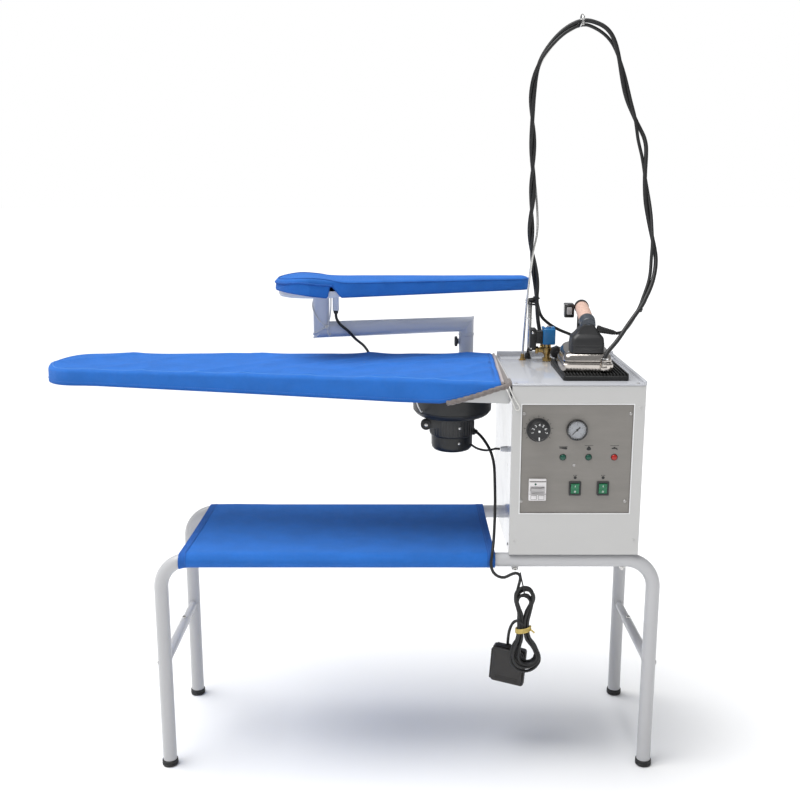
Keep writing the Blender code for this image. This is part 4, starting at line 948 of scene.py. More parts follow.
def make_cabinet():
    inner_low = (PANEL_LOW[0] + 0.0002, PANEL_LOW[1] + 0.0002)
    inner_high = (PANEL_HIGH[0] - 0.0002, PANEL_HIGH[1] - 0.0002)
    piece("front_plate", [framed(((CAB_LEFT, CAB_BOTTOM), (CAB_RIGHT, 0.8602)), (inner_low, inner_high),
                                 CAB_FRONT, CAB_FRONT + 0.005, 0.0016)],
          "front_paint", stands_for=["cabinet_front"])
    lid = [box((CAB_LEFT - 0.001, CAB_FRONT - 0.0015, 0.8606), (CAB_RIGHT + 0.001, CAB_BACK + 0.001, CAB_TOP),
               0.0016, 3),
           box((CAB_LEFT - 0.001, CAB_BACK - 0.0070, 0.8620), (CAB_RIGHT + 0.001, CAB_BACK + 0.001, 0.8745),
               0.0022, 3),
           box((CAB_RIGHT - 0.0060, CAB_FRONT - 0.0014, 0.8620),
               (CAB_RIGHT + 0.001, CAB_BACK + 0.001, 0.8705),
               0.0020, 3),
           box((CAB_LEFT + 0.004, 0.2760, 0.8640), (CAB_RIGHT - 0.0062, CAB_BACK - 0.0072, 0.8652), 0.0005)]
    piece("lid", lid, "cabinet_paint", stands_for=["cabinet_top"])
    glands = []
    for at, way in (((0.280, 0.2830, CAB_TOP), (0, 0, 1)), ((0.425, 0.296, CAB_TOP), (0, 0, 1))):
        glands.append(lathe([(0, 0), (0.0092, 0), (0.0092, 0.0016), (0.0070, 0.0022), (0.0062, 0.0060),
                             (0.0066, 0.0070), (0.0056, 0.0105), (0.0048, 0.0130), (0, 0.0130)], 28, at, way))
    piece("lid_glands", glands, "rubber", stands_for=["iron_gland"])
    side = lathe([(0, 0), (0.0062, 0), (0.0062, 0.0014), (0.0046, 0.0022), (0.0040, 0.0110), (0.0034, 0.0132),
                  (0, 0.0132)], 28, (CAB_LEFT, 0.070, 0.705), (-1, 0, 0))
    piece("side_gland", [side], "rubber")
    screws = [screw_head((x, CAB_FRONT, z), TOWARDS) for x, z in
              ((0.2247, 0.8146), (0.4755, 0.8146), (0.2247, 0.5290), (0.4755, 0.5290))]
    piece("cabinet_screws", screws, "front_paint")
    screws = [screw_head((x, -0.0105, CAB_TOP), (0, 0, 1), 0.0032, 0.0012) for x in (0.2215, 0.470)]
    screws += [screw_head((x, 0.318, CAB_TOP + 0.0004), (0, 0, 1), 0.0032, 0.0012) for x in (0.2235, 0.468)]
    screws += [screw_head((CAB_LEFT, y, z), (-1, 0, 0), 0.0032, 0.0014) for y in (0.010, 0.305)
               for z in (0.512, 0.848)]
    screws += [screw_head((CAB_RIGHT, y, z), (1, 0, 0), 0.0032, 0.0014) for y in (0.010, 0.305)
               for z in (0.512, 0.848)]
    piece("lid_screws", screws, "dull_screw")
    back = [screw_head((x, CAB_BACK, z), (0, 1, 0), 0.0032, 0.0014) for x in (0.226, 0.350, 0.474)
            for z in (0.509, 0.848)]
    for row in range(7):
        z = 0.545 + 0.013 * row
        back.append(box((0.275, CAB_BACK - 0.0002, z), (0.425, CAB_BACK + 0.0030, z + 0.0035), 0.0010))
    piece("back_louvres", back, "cabinet_paint")


def tick(centre, a, inner, outer, half, depths):
    """A short flat line of a round scale, pointing at its centre."""
    u, w = Vector((cos(a), sin(a))), Vector((-sin(a), cos(a))) * half
    corners = [(inner, -1), (outer, -1), (outer, 1), (inner, 1)]
    return prism([tuple(Vector(centre) + u * r + w * side) for r, side in corners], *depths)


def make_panel():
    low, high = PANEL_LOW, PANEL_HIGH
    plate_edge = 0.0022
    sheet = stack([[(x, FACE + 0.0014, z) for x, z in round_rect(low, high, 0.001)],
                   [(x, FACE + 0.0003, z) for x, z in round_rect(low, high, 0.001)]])
    piece("panel_sheet", [sheet], "panel_paint", stands_for=["control_panel"])
    # The lip round the panel is drawn dark grey as painted shade, for the shadow in the gap between panel and
    # opening.
    lip = framed((low, high), ((low[0] + plate_edge * 0.5, low[1] + plate_edge * 0.5),
                               (high[0] - plate_edge * 0.5, high[1] - plate_edge * 0.5)),
                 FACE - 0.0010, FACE + 0.0006, 0.0012, 0.0004)
    piece("panel_lip_shade", [lip], "grey_ink")
    # The bright ring round the panel's opening is a painted highlight of its raised edge, lighter than the
    # front's own paint.
    edge = framed(((low[0] - 0.0022, low[1] - 0.0022), (high[0] + 0.0022, high[1] + 0.0022)),
                  ((low[0] - 0.0001, low[1] - 0.0001), (high[0] + 0.0001, high[1] + 0.0001)),
                  CAB_FRONT - 0.0006, CAB_FRONT + 0.0004, 0.0012, 0.0002)
    piece("opening_edge_highlight", [edge], "edge_highlight_paint")
    corners = [(0.2390, 0.8020), (0.4570, 0.8020), (0.2370, 0.6150), (0.4530, 0.6150)]
    screws = [screw_head((x, FACE + 0.0003, z), TOWARDS, 0.0034, 0.0020) for x, z in corners]
    piece("panel_screws", screws, "dull_screw")

    def facing(x, z, depth=0.0, turn=0.0):
        return (Matrix.Translation((x, FACE - depth, z)) @ Matrix.Rotation(radians(90), 4, "X")
                @ Matrix.Rotation(turn, 4, "Z"))

    marks = []
    for x, z in ((0.321, 0.726), (0.374, 0.728), (0.427, 0.728)):
        marks.append(prism(round_rect((x - 0.009, z + 0.0065), (x + 0.009, z + 0.0072), 0.0003, 2),
                           *INK))
    wedge = [(0.3130, 0.7290), (0.3280, 0.7262), (0.3300, 0.7300), (0.3270, 0.7318), (0.3130, 0.7308)]
    marks.append(prism(wedge[::-1], *INK))
    drop = [(0.374 + 0.0042 * sin(a) * (1 - 0.55 * cos(a)), 0.7290 + 0.0046 * cos(a))
            for a in around(24)]
    marks.append(prism(drop, *INK))
    tap = [(0.4210, 0.7300), (0.4310, 0.7300), (0.4330, 0.7280), (0.4330, 0.7255), (0.4312, 0.7255),
           (0.4305, 0.7275), (0.4210, 0.7275)]
    marks.append(prism(tap, *INK))
    marks.append(prism([(0.4245, 0.7300), (0.4285, 0.7300), (0.4285, 0.7320), (0.4245, 0.7320)],
                       *INK))
    for x in (0.348, 0.406):
        marks.append(prism(arc((x, 0.6660), 0.0032, 0, 330, 14), *INK))
        for k in (-1, 0, 1):
            marks.append(prism(round_rect((x + 0.0030 * k - 0.0006, 0.6695),
                                          (x + 0.0030 * k + 0.0006, 0.6722),
                                          0.0004, 2), *INK))
    dial_x, dial_z = 0.269, 0.768
    for i in range(13):
        a = radians(215 - 250 * i / 12)
        marks.append(tick((dial_x, dial_z), a, 0.0262, 0.0292 if i % 2 else 0.0305, 0.0004, INK))
    piece("panel_marks", marks, "black_ink", sharp=20)
    hole = ring_shape(0.0026, 0.0006, (0.3445, FACE + 0.0002, 0.6930), (0, -1, 0), 24)
    piece("panel_eyelet", [hole, lathe([(0, 0), (0.0020, 0), (0.0020, 0.0003), (0, 0.0003)], 20,
                                       (0.3445, FACE + 0.0003, 0.6930), TOWARDS)], "dull_screw")

    knob = [(0, -0.002), (0.0245, -0.002), (0.0248, 0.0), (0.0246, 0.0026), (0.0238, 0.0031),
            (0.0212, 0.0034),
            (0.0207, 0.0042), (0.0203, 0.0140), (0.0192, 0.0158), (0.0176, 0.0162), (0.0170, 0.0155),
            (0, 0.0155)]
    grooves = [lathe(knob, 96, (dial_x, FACE, dial_z), TOWARDS, lobes=24, depth=0.006)]
    piece("dial", grooves, "black_plastic", "thermostat_dial", stands_for=["thermostat_dial"])
    figures = []
    for i in range(7):
        a = radians(190 - 200 * i / 6)
        spot = (dial_x + 0.0138 * cos(a), dial_z + 0.0138 * sin(a))
        turn = a - pi / 2
        figures.append(number_shape(str(i + 1), 0.0078, facing(*spot, 0.0157, turn)))
    pointer = round_rect((-0.0011, -0.0190), (0.0011, -0.0120), 0.0006, 2)
    figures.append(prism([(dial_x + x, dial_z + z) for x, z in pointer], FACE - 0.0162, FACE - 0.0150))
    figures.append(lathe([(0, 0), (0.0024, 0), (0.0022, 0.0006), (0, 0.0008)], 20,
                         (dial_x, FACE - 0.0155, dial_z), TOWARDS))
    piece("dial_figures", figures, "white_ink", "thermostat_dial", sharp=20)

    gx, gz, gauge_r = 0.348, 0.768, 0.0215
    case = [(0, -0.020), (0.0180, -0.020), (0.0184, 0), (gauge_r + 0.0004, 0.0), (gauge_r + 0.0004, 0.0040),
            (gauge_r - 0.0002, 0.0062), (gauge_r - 0.0012, 0.0070), (gauge_r - 0.0030, 0.0068),
            (gauge_r - 0.0034, 0.0050), (gauge_r - 0.0034, 0.0016), (0, 0.0016)]
    piece("gauge_bezel", [lathe(case, 64, (gx, FACE, gz), TOWARDS)], "black_gloss", stands_for=["gauge_case"])
    piece("gauge_dial", [lathe([(0, 0.0014), (gauge_r - 0.0036, 0.0014), (gauge_r - 0.0036, 0.0020),
                                (0, 0.0020)],
                               64, (gx, FACE, gz), TOWARDS)], "dial_face")
    ticks = []
    for i in range(21):
        a = radians(225 - 270 * i / 20)
        inner = 0.0148 if i % 5 else 0.0136
        ticks.append(tick((gx, gz), a, inner, 0.0166, 0.00028, (FACE - 0.0023, FACE - 0.0020)))
    for i in range(5):
        a = radians(225 - 270 * i / 4)
        spot = (gx + 0.0112 * cos(a), gz + 0.0112 * sin(a))
        ticks.append(number_shape(str(2 * i), 0.0036, facing(*spot, 0.0021)))
    piece("gauge_ticks", ticks, "grey_ink", sharp=20)
    needle_turn = Matrix.Translation((gx, FACE - 0.0030, gz)) @ Matrix.Rotation(radians(-135), 4, "Y")
    hand = prism([(-0.0014, -0.0072), (0.0014, -0.0072), (0.0011, 0.0010), (0.0004, 0.0140),
                  (-0.0004, 0.0140),
                  (-0.0011, 0.0010)], -0.0003, 0.0003)
    hub = lathe([(0, -0.0006), (0.0024, -0.0006), (0.0024, 0.0006), (0.0018, 0.0012), (0, 0.0012)], 24,
                (0, 0, 0), TOWARDS)
    tail = lathe([(0, 0), (0.0016, 0), (0.0016, 0.0006), (0, 0.0006)], 16, (0, 0.0003, -0.0072), TOWARDS)
    piece("gauge_hand", [hand, hub, tail], "black_ink", "gauge_needle", STATION @ needle_turn,
          stands_for=["gauge_needle"])
    piece("gauge_glass",
          [lathe([(0, 0.0054), (gauge_r - 0.0032, 0.0050), (gauge_r - 0.0032, 0.0056), (0, 0.0062)],
                                48, (gx, FACE, gz), TOWARDS)], "glass")

    lens = [(0, -0.004), (0.0050, -0.004), (0.0062, 0.0), (0.0061, 0.0010), (0.0050, 0.0027),
            (0.0030, 0.0036),
            (0, 0.0039)]
    for name, finish, slot, x in (("green_lamp_left", "lamp_green", "green_lens", 0.321),
                                  ("green_lamp_right", "lamp_green", "green_lens", 0.374),
                                  ("red_lamp", "red_lens", "red_lens", 0.427)):
        piece(name + "_lens", [lathe(lens, 40, (x, FACE, 0.710), TOWARDS)], finish, stands_for=[name])
    rims = [ring_shape(0.0064, 0.0008, (x, FACE, 0.710), (0, -1, 0), 32) for x in (0.321, 0.374, 0.427)]
    piece("lamp_rims", rims, "black_plastic")
    make_switches()
    make_breaker()


def make_switches():
    z, half_w, half_h = 0.643, 0.0125, 0.0150
    for side, x in (("left", 0.348), ("right", 0.406)):
        bezel = framed(((x - half_w, z - half_h), (x + half_w, z + half_h)),
                       ((x - 0.0090, z - 0.0113), (x + 0.0090, z + 0.0113)), FACE - 0.0028, FACE + 0.0040,
                       0.0014,
                       0.0006)
        floor = box((x - 0.0092, FACE + 0.0030, z - 0.0115), (x + 0.0092, FACE + 0.0042, z + 0.0115), 0)
        piece("bezel_" + side, [bezel, floor], "black_plastic", stands_for=["switch_bezel_" + side])
        place = STATION @ Matrix.Translation((x, FACE - 0.0010, z)) @ Matrix.Rotation(radians(8), 4, "X")
        profile = [(-0.0108, -0.0021), (-0.0060, -0.0027), (-0.0010, -0.0022), (0.0, -0.0020),
                   (0.0010, -0.0022),
                   (0.0060, -0.0027), (0.0108, -0.0021)]
        outline = [(y, w) for w, y in profile] + [(0.0026, 0.0108), (0.0026, -0.0108)]
        body = stack([[(-0.0085, y, w) for y, w in outline], [(-0.0081, y * 1.02, w) for y, w in outline],
                      [(0.0081, y * 1.02, w) for y, w in outline], [(0.0085, y, w) for y, w in outline]])
        piece("rocker_lens_" + side, [body], "green_lens", "rocker_" + side, place,
              stands_for=["rocker_" + side], sharp=25)
        bar = box((-0.0005, -0.0030, 0.0042), (0.0005, -0.0024, 0.0078), 0.0001, 1)
        off = ring_shape(0.0016, 0.0004, (0, -0.0026, -0.0060), (0, -1, 0), 20)
        piece("rocker_marks_" + side, [bar, off], "white_ink", "rocker_" + side, place)


def make_breaker():
    x, z = 0.270, 0.641
    near = FACE - 0.0060
    parts = [framed(((x - 0.0180, z - 0.0230), (x + 0.0180, z + 0.0230)),
                    ((x - 0.0143, z - 0.0073), (x + 0.0143, z + 0.0073)), near, FACE + 0.0002, 0.0014,
                    0.0006),
             box((x - 0.0150, FACE - 0.0022, z - 0.0080), (x + 0.0150, FACE - 0.0008, z + 0.0080), 0),
             box((x - 0.0168, near - 0.0008, z + 0.0092), (x + 0.0168, near + 0.001, z + 0.0165), 0.0005),
             box((x - 0.0168, near - 0.0006, z - 0.0215), (x + 0.0168, near + 0.001, z - 0.0098), 0.0005)]
    piece("breaker_case", parts, "white_plastic", stands_for=["breaker_body"])
    dark = [box((x - 0.0172, near - 0.0009, z + 0.0176), (x + 0.0172, near + 0.001, z + 0.0192), 0.0003),
            box((x - 0.0172, near - 0.0004, z - 0.0090), (x + 0.0172, near + 0.001, z - 0.0083), 0.0001)]
    for k in (-1, 1):
        dark.append(framed(((x + 0.0078 * k - 0.0062, z - 0.0205), (x + 0.0078 * k + 0.0062, z - 0.0108)),
                           ((x + 0.0078 * k - 0.0055, z - 0.0198), (x + 0.0078 * k + 0.0055, z - 0.0115)),
                           near - 0.0008, near, 0.0008, 0.0001))
    piece("breaker_lines", dark, "grey_ink", sharp=20)
    piece("breaker_light", [lathe([(0, 0), (0.0022, 0), (0.0020, 0.0008), (0, 0.0012)], 24,
                                  (x - 0.0045, near - 0.0008, z + 0.0128), TOWARDS)], "lamp_green")
    place = STATION @ Matrix.Translation((x, FACE - 0.0036, z)) @ Matrix.Rotation(radians(15), 4, "X")
    bar = stack([[(w, y, h) for y, h in ((0, -0.0040), (-0.0080, -0.0036), (-0.0096, -0.0024), (-0.0100, 0),
                                         (-0.0096, 0.0024), (-0.0080, 0.0036), (0, 0.0040))]
                 for w in (-0.0140, -0.0134, 0.0134, 0.0140)])
    ribs = [box((-0.0120, -0.0104, h - 0.0003), (0.0120, -0.0094, h + 0.0003), 0.0001, 1)
            for h in (-0.0015, 0, 0.0015)]
    piece("breaker_lever", [bar] + ribs, "grey_plastic", "breaker_toggle", place,
          stands_for=["breaker_toggle"],
          sharp=25)


def make_valve():
    x, y = 0.320, 0.250
    base = CAB_TOP + 0.0003
    body = [nut((x, y, base), (0, 0, 1), 0.0112, 0.0078),
            lathe([(0.0066, 0), (0.0066, 0.0080), (0.0095, 0.0088), (0.0110, 0.0105), (0.0112, 0.0205),
                   (0.0104, 0.0230), (0.0086, 0.0242), (0.0086, 0.0300), (0, 0.0300)], 40,
                  (x, y, base + 0.0078)),
            rod((x, y, 0.8900), (x - 0.024, y, 0.8900), 0.0060, None, 28, 0.0006),
            nut((x - 0.0200, y, 0.8900), (-1, 0, 0), 0.0084, 0.0070),
            rod((x, y, 0.889), (0.3425, y, 0.889), 0.0055, None, 24, 0.0006),
            rod((0.338, y + 0.002, 0.889), (0.338, y - 0.0175, 0.889), 0.0036, None, 20),
            nut((0.338, y - 0.0070, 0.889), (0, -1, 0), 0.0068, 0.0060),
            rod((x, y, 0.888), (0.311, 0.2725, 0.888), 0.0045, None, 24),
            nut((0.311, 0.2725, 0.8822), (0, 0, 1), 0.0068, 0.0068),
            lathe([(0.0048, 0), (0.0048, 0.0046), (0.0056, 0.0052), (0.0044, 0.0066), (0.0044, 0.0100),
                   (0, 0.0100)], 24, (0.311, 0.2725, 0.8890))]
    piece("valve_brass", body, "brass", stands_for=["valve_body"])
    clamp = [ring_shape(0.0050, 0.0008, (0.3109, 0.2728, 0.9050), (0, 0, 1), 28),
             box((0.3130, 0.2672, 0.9030), (0.3170, 0.2702, 0.9070), 0.0006)]
    piece("hose_clamp", clamp, "bright_steel")
    low, high = (0.3085, y - 0.0150, 0.9036), (0.3365, y + 0.0150, 0.9400)
    coil = [box(low, high, 0.0030, 4),
            rod((x + 0.002, y, 0.9385), (x + 0.002, y, 0.9425), 0.0058, None, 28, 0.0005)]
    for dx in (-0.0095, 0.0125):
        coil.append(box((x + dx - 0.0030, y - 0.0120, 0.9390), (x + dx + 0.0030, y + 0.0120, 0.9428), 0.0010))
    piece("coil", coil, "coil_blue", stands_for=["valve_coil"])
    nuts = [nut((x + 0.002, y, 0.9424), (0, 0, 1), 0.0045, 0.0030),
            screw_head((0.2850, y - 0.0142, 0.9310), TOWARDS, 0.0028, 0.0014)]
    piece("valve_fasteners", nuts, "bright_steel")
    plug = [box((0.2790, y - 0.0140, 0.8966), (0.2935, y + 0.0140, 0.9400), 0.0022, 3),
            box((0.2925, y - 0.0125, 0.9060), (0.3084, y + 0.0125, 0.9345), 0.0016, 3),
            lathe([(0.0056, 0), (0.0056, 0.0040), (0.0044, 0.0060), (0.0032, 0.0085), (0, 0.0085)], 24,
                  (0.2900, 0.254, 0.8975), (0, 0, -1))]
    path = smooth(VALVE_CABLE, 0.006)
    piece("plug_case", plug, "black_plastic", stands_for=["valve_plug"])
    add_cord("valve_lead", path, VALVE_D, ())
    knob = [(0, 0), (0.0118, 0.0), (0.0138, 0.0016), (0.0140, 0.0105), (0.0130, 0.0124), (0.0104, 0.0132),
            (0.0046, 0.0126), (0, 0.0124)]
    knob_shape = lathe(knob, 64, (0.338, y - 0.0178, 0.889), TOWARDS, lobes=8, depth=0.055)
    cap = lathe([(0, 0), (0.0038, 0), (0.0034, 0.0008), (0, 0.0010)], 24, (0.338, y - 0.0304, 0.889), TOWARDS)
    piece("knob", [knob_shape, cap], "black_plastic", "steam_knob", stands_for=["steam_knob"])


# ---------------------------------------------------------------- iron

IRON = STATION @ Matrix.Translation((0.3745, 0.0355, 0.8793)) @ Matrix.Rotation(radians(-4), 4, "Z")


def sole_ring(pulled, height, swell=0.0):
    """The iron's outline, narrower at the back, pulled in by an amount, at one height."""
    half, back, nose = 0.056 - pulled, pulled, 0.198 - pulled * 1.4
    corner, shoulder = 0.012, 0.075
    points = arc((half - corner, back + corner), corner, -90, 0, 7)
    for i in range(1, 7):
        points.append((half, back + corner + (shoulder - back - corner) * i / 7))
    for i in range(25):
        t = i / 25
        points.append((half * (1 - t ** 2.1), shoulder + (nose - shoulder) * sin(t * pi / 2)))
    points = [(x * (1 - 0.055 * max(0.0, 1 - y / 0.085) ** 1.5), y) for x, y in points]
    points.append((0.0, nose))
    whole = points + [(-x, y) for x, y in reversed(points[:-1])]
    return [(x, y, height + swell * exp(-((y - 0.118) / 0.050) ** 2)) for x, y in whole]


def rounded_ring(half, y0, y1, height, radius):
    return [(x, y, height) for x, y in round_rect((-half, y0), (half, y1), radius, 7)]


def make_iron():
    sole = stack([sole_ring(0.0030, 0.0), sole_ring(0.0006, 0.0012), sole_ring(0.0, 0.0030),
                  sole_ring(0.0, 0.0145), sole_ring(0.0008, 0.0158), sole_ring(0.0030, 0.0162),
                  sole_ring(0.0034, 0.0190), sole_ring(0.0060, 0.0198)])
    fitting = [nut((0.0320, -0.0045, 0.0040), (0, 0, 1), 0.0074, 0.0090),
               lathe([(0.0052, 0), (0.0052, 0.0040), (0.0062, 0.0048), (0.0046, 0.0080), (0.0046, 0.0125),
                      (0, 0.0125)], 28, (0.0320, -0.0045, 0.0130)),
               rod((0.0320, -0.0045, 0.0080), (0.0320, 0.0060, 0.0080), 0.0050, None, 24)]
    piece("iron_sole", [sole] + fitting, "iron_steel", "iron", IRON, stands_for=["soleplate"],
          sharp=28)
    ring = [ring_shape(0.0052, 0.0009, (0.0319, -0.0046, 0.0290), (0.05, 0.1, 1), 28),
            box((0.0360, -0.0090, 0.0270), (0.0400, -0.0058, 0.0312), 0.0006)]
    piece("iron_hose_clamp", ring, "bright_steel", "iron", IRON)
    cover = stack([sole_ring(0.0052, 0.0200), sole_ring(0.0040, 0.0210), sole_ring(0.0042, 0.0270),
                   sole_ring(0.0060, 0.0325, 0.001), sole_ring(0.0095, 0.0360, 0.002),
                   sole_ring(0.0140, 0.0376, 0.003), sole_ring(0.0200, 0.0381, 0.0035),
                   sole_ring(0.0300, 0.0383, 0.0035)])
    screws = [screw_head((x, y, 0.0385), (0, 0, 1), 0.0035, 0.0012) for x,
              y in ((-0.038, 0.020), (0.038, 0.020))]
    piece("iron_hood", [cover], "iron_steel", "iron", IRON, stands_for=["iron_cover"], sharp=50)
    piece("iron_screws", screws, "bright_steel", "iron", IRON)

    housing = stack([rounded_ring(0.0335, 0.0100, 0.0780, 0.0380, 0.006),
                     rounded_ring(0.0342, 0.0095, 0.0785, 0.0410, 0.007),
                     rounded_ring(0.0342, 0.0098, 0.0775, 0.0560, 0.008),
                     rounded_ring(0.0332, 0.0110, 0.0750, 0.0665, 0.009),
                     rounded_ring(0.0315, 0.0130, 0.0720, 0.0705, 0.010),
                     rounded_ring(0.0262, 0.0170, 0.0670, 0.0760, 0.011),
                     rounded_ring(0.0190, 0.0168, 0.0600, 0.0850, 0.007),
                     rounded_ring(0.0142, 0.0172, 0.0545, 0.0920, 0.006),
                     rounded_ring(0.0122, 0.0176, 0.0510, 0.0950, 0.005),
                     rounded_ring(0.0112, 0.0210, 0.0500, 0.0975, 0.005)])
    seam = stack([rounded_ring(0.0346, 0.0090, 0.0790, 0.0530, 0.008),
                  rounded_ring(0.0346, 0.0090, 0.0790, 0.0540, 0.008)])
    pads = [box((-0.0240, 0.0085, 0.0440), (0.0240, 0.0110, 0.0500), 0.0010)]
    piece("iron_housing", [housing, seam] + pads, "black_plastic", "iron", IRON,
          stands_for=["handle_housing"])
    start, end = Vector((0, 0.052, 0.0995)), Vector((0, 0.160, 0.1145))
    along = (end - start).normalized()
    collar = [(0, -0.0320), (0.0135, -0.0320), (0.0152, -0.0300), (0.0158, -0.0140), (0.0170, -0.0110),
              (0.0172, -0.0020), (0.0162, -0.0004), (0, -0.0004)]
    bolt = lathe([(0, 0), (0.0046, 0), (0.0040, 0.0016), (0, 0.0020)], 24, start - along * 0.0320, -along)
    piece("handle_collar", [lathe(collar, 56, start, along), bolt], "collar", "iron", IRON)
    barrel = [(0, 0.0), (0.0136, 0.0), (0.0143, 0.0020), (0.0148, 0.0250), (0.0152, 0.0550), (0.0149, 0.0850),
              (0.0143, 0.1060), (0.0136, 0.1088), (0, 0.1088)]
    piece("cork_grip", [lathe(barrel, 56, start, along)], "cork", "iron", IRON, stands_for=["grip"])
    nose = [(0, 0.0003), (0.0156, 0.0003), (0.0160, 0.0030), (0.0157, 0.0100), (0.0140, 0.0160),
            (0.0100, 0.0198),
            (0.0040, 0.0210), (0, 0.0210)]
    seat_z, post_y, top_z = 0.0381, 0.1699, 0.1119
    post = stack([[(x, y, seat_z) for x,
                   y in round_rect((-0.0100, post_y - 0.0075), (0.0100, post_y + 0.0095),
                                                         0.004)],
                  [(x, y, seat_z + 0.004) for x, y in round_rect((-0.0085, post_y - 0.0060),
                                                                 (0.0085, post_y + 0.0078), 0.004)],
                  [(x, y, top_z) for x, y in round_rect((-0.0085, post_y - 0.0055), (0.0085, post_y + 0.0070),
                                                        0.004)]])
    piece("handle_front", [lathe(nose, 56, end, along), post], "black_gloss", "iron", IRON,
          stands_for=["handle_nose"])
    tip = end + along * 0.010
    right = -0.0160
    case = framed(((right - 0.022, tip.z - 0.024), (right, tip.z + 0.006)),
                  ((right - 0.0173, tip.z - 0.0173), (right - 0.0047, tip.z - 0.0007)), tip.y - 0.0120,
                  tip.y + 0.0160, 0.0030, 0.0012)
    back = box((right - 0.020, tip.y + 0.0000, tip.z - 0.022), (right - 0.002, tip.y + 0.0150, tip.z + 0.004),
               0.001)
    piece("switch_case", [case, back], "black_gloss", "iron", IRON, stands_for=["switch_box"])
    middle = Vector((right - 0.011, tip.y - 0.012, tip.z - 0.009))
    button = [box(middle - Vector((0.0057, 0.0045, 0.0077)), middle + Vector((0.0057, 0.0045, 0.0077)),
                  0.0012, 3)]
    for k in (-1, 0, 1):
        button.append(box(middle + Vector((-0.0040, -0.0051, 0.0030 * k - 0.0004)),
                          middle + Vector((0.0040, -0.0040, 0.0030 * k + 0.0004)), 0.0002, 1))
    piece("button", button, "grey_plastic", "steam_button", IRON, stands_for=["steam_button"])
    first, last = Vector((0.0190, 0.0300, 0.0862)), Vector((0.0575, 0.0300, 0.0778))
    length = (last - first).length
    relief = [(0, 0), (0.0078, 0), (0.0080, 0.0060), (0.0070, 0.0075)]
    for i in range(8):
        near = 0.0095 + (length - 0.0120) * i / 8
        r = 0.0070 - 0.0021 * i / 8
        relief += [(r, near), (r, near + 0.0022), (r - 0.0013, near + 0.0026), (r - 0.0013, near + 0.0038)]
    relief += [(0.0044, length), (0, length)]
    piece("strain_relief", [lathe(relief, 36, first, last - first)], "rubber", "iron", IRON,
          stands_for=["cable_sleeve"], sharp=30)

    x0, y0, x1, y1 = 0.322, 0.014, 0.457, 0.208
    base, top = CAB_TOP + 0.0003, CAB_TOP + 0.0145
    mat = [stack([[(x, y, base) for x, y in round_rect((x0, y0), (x1, y1), 0.006)],
                  [(x, y, base + 0.0085) for x, y in round_rect((x0, y0), (x1, y1), 0.006)],
                  [(x, y, base + 0.0095) for x, y in round_rect((x0 + 0.001, y0 + 0.001),
                                                                (x1 - 0.001, y1 - 0.001), 0.006)]])]
    count = 20
    for i in range(count):
        x = x0 + 0.0028 + (x1 - x0 - 0.0056) * i / (count - 1)
        mat.append(box((x - 0.0016, y0 + 0.0015, base + 0.006), (x + 0.0016, y1 - 0.0015, top), 0.0008, 2))
    piece("iron_mat", mat, "rubber", stands_for=["iron_rest"])


# ---------------------------------------------------------------- vacuum board and fan

def board_line(reach_right, sink=0.0):
    """The board's outline: straight back, tapering front and rounded left tip, anticlockwise from above."""
    left_y, right_y, back, shoulder, tip = 0.124 + sink, -0.012 + sink, 0.347 - sink, -0.700, -0.803 + sink
    middle, half = (back + left_y) / 2, (back - left_y) / 2
    slope = (left_y - right_y) / (shoulder - 0.2105)
    end = []
    for i in range(33):
        a = pi / 2 + pi * i / 32
        end.append((shoulder + (shoulder - tip) * copysign(abs(cos(a)) ** 0.70, cos(a)),
                    middle + half * copysign(abs(sin(a)) ** 0.9, sin(a))))
    knee = (shoulder / 2, left_y + slope * (shoulder / 2 - shoulder) + 0.004)
    front, rear = reach_right
    corners = [(front, right_y), (rear, back), *end, knee]
    radii = [0.010, 0.008] + [0] * len(end) + [0.12]
    return resample(rounded_corners(corners, radii), 0.0085)


def skirt_foot(x):
    """How low the cover's skirt hangs: it is drawn up towards the board's right end."""
    t = min(1.0, max(0.0, (x - 0.066) / 0.132))
    thin = 0.0213 * min(0.65, max(0.0, -0.02 - x))
    return 0.8190 + 0.0425 * t ** 1.25 + thin


PAN_RIM = 0.8575


def pan_foot(x):
    """The underside of the plenum: hidden behind the skirt at the left, lower round the fan."""
    return skirt_foot(x) + 0.0012 + (0.8193 - skirt_foot(x)) * eased(x, -0.11, -0.01)


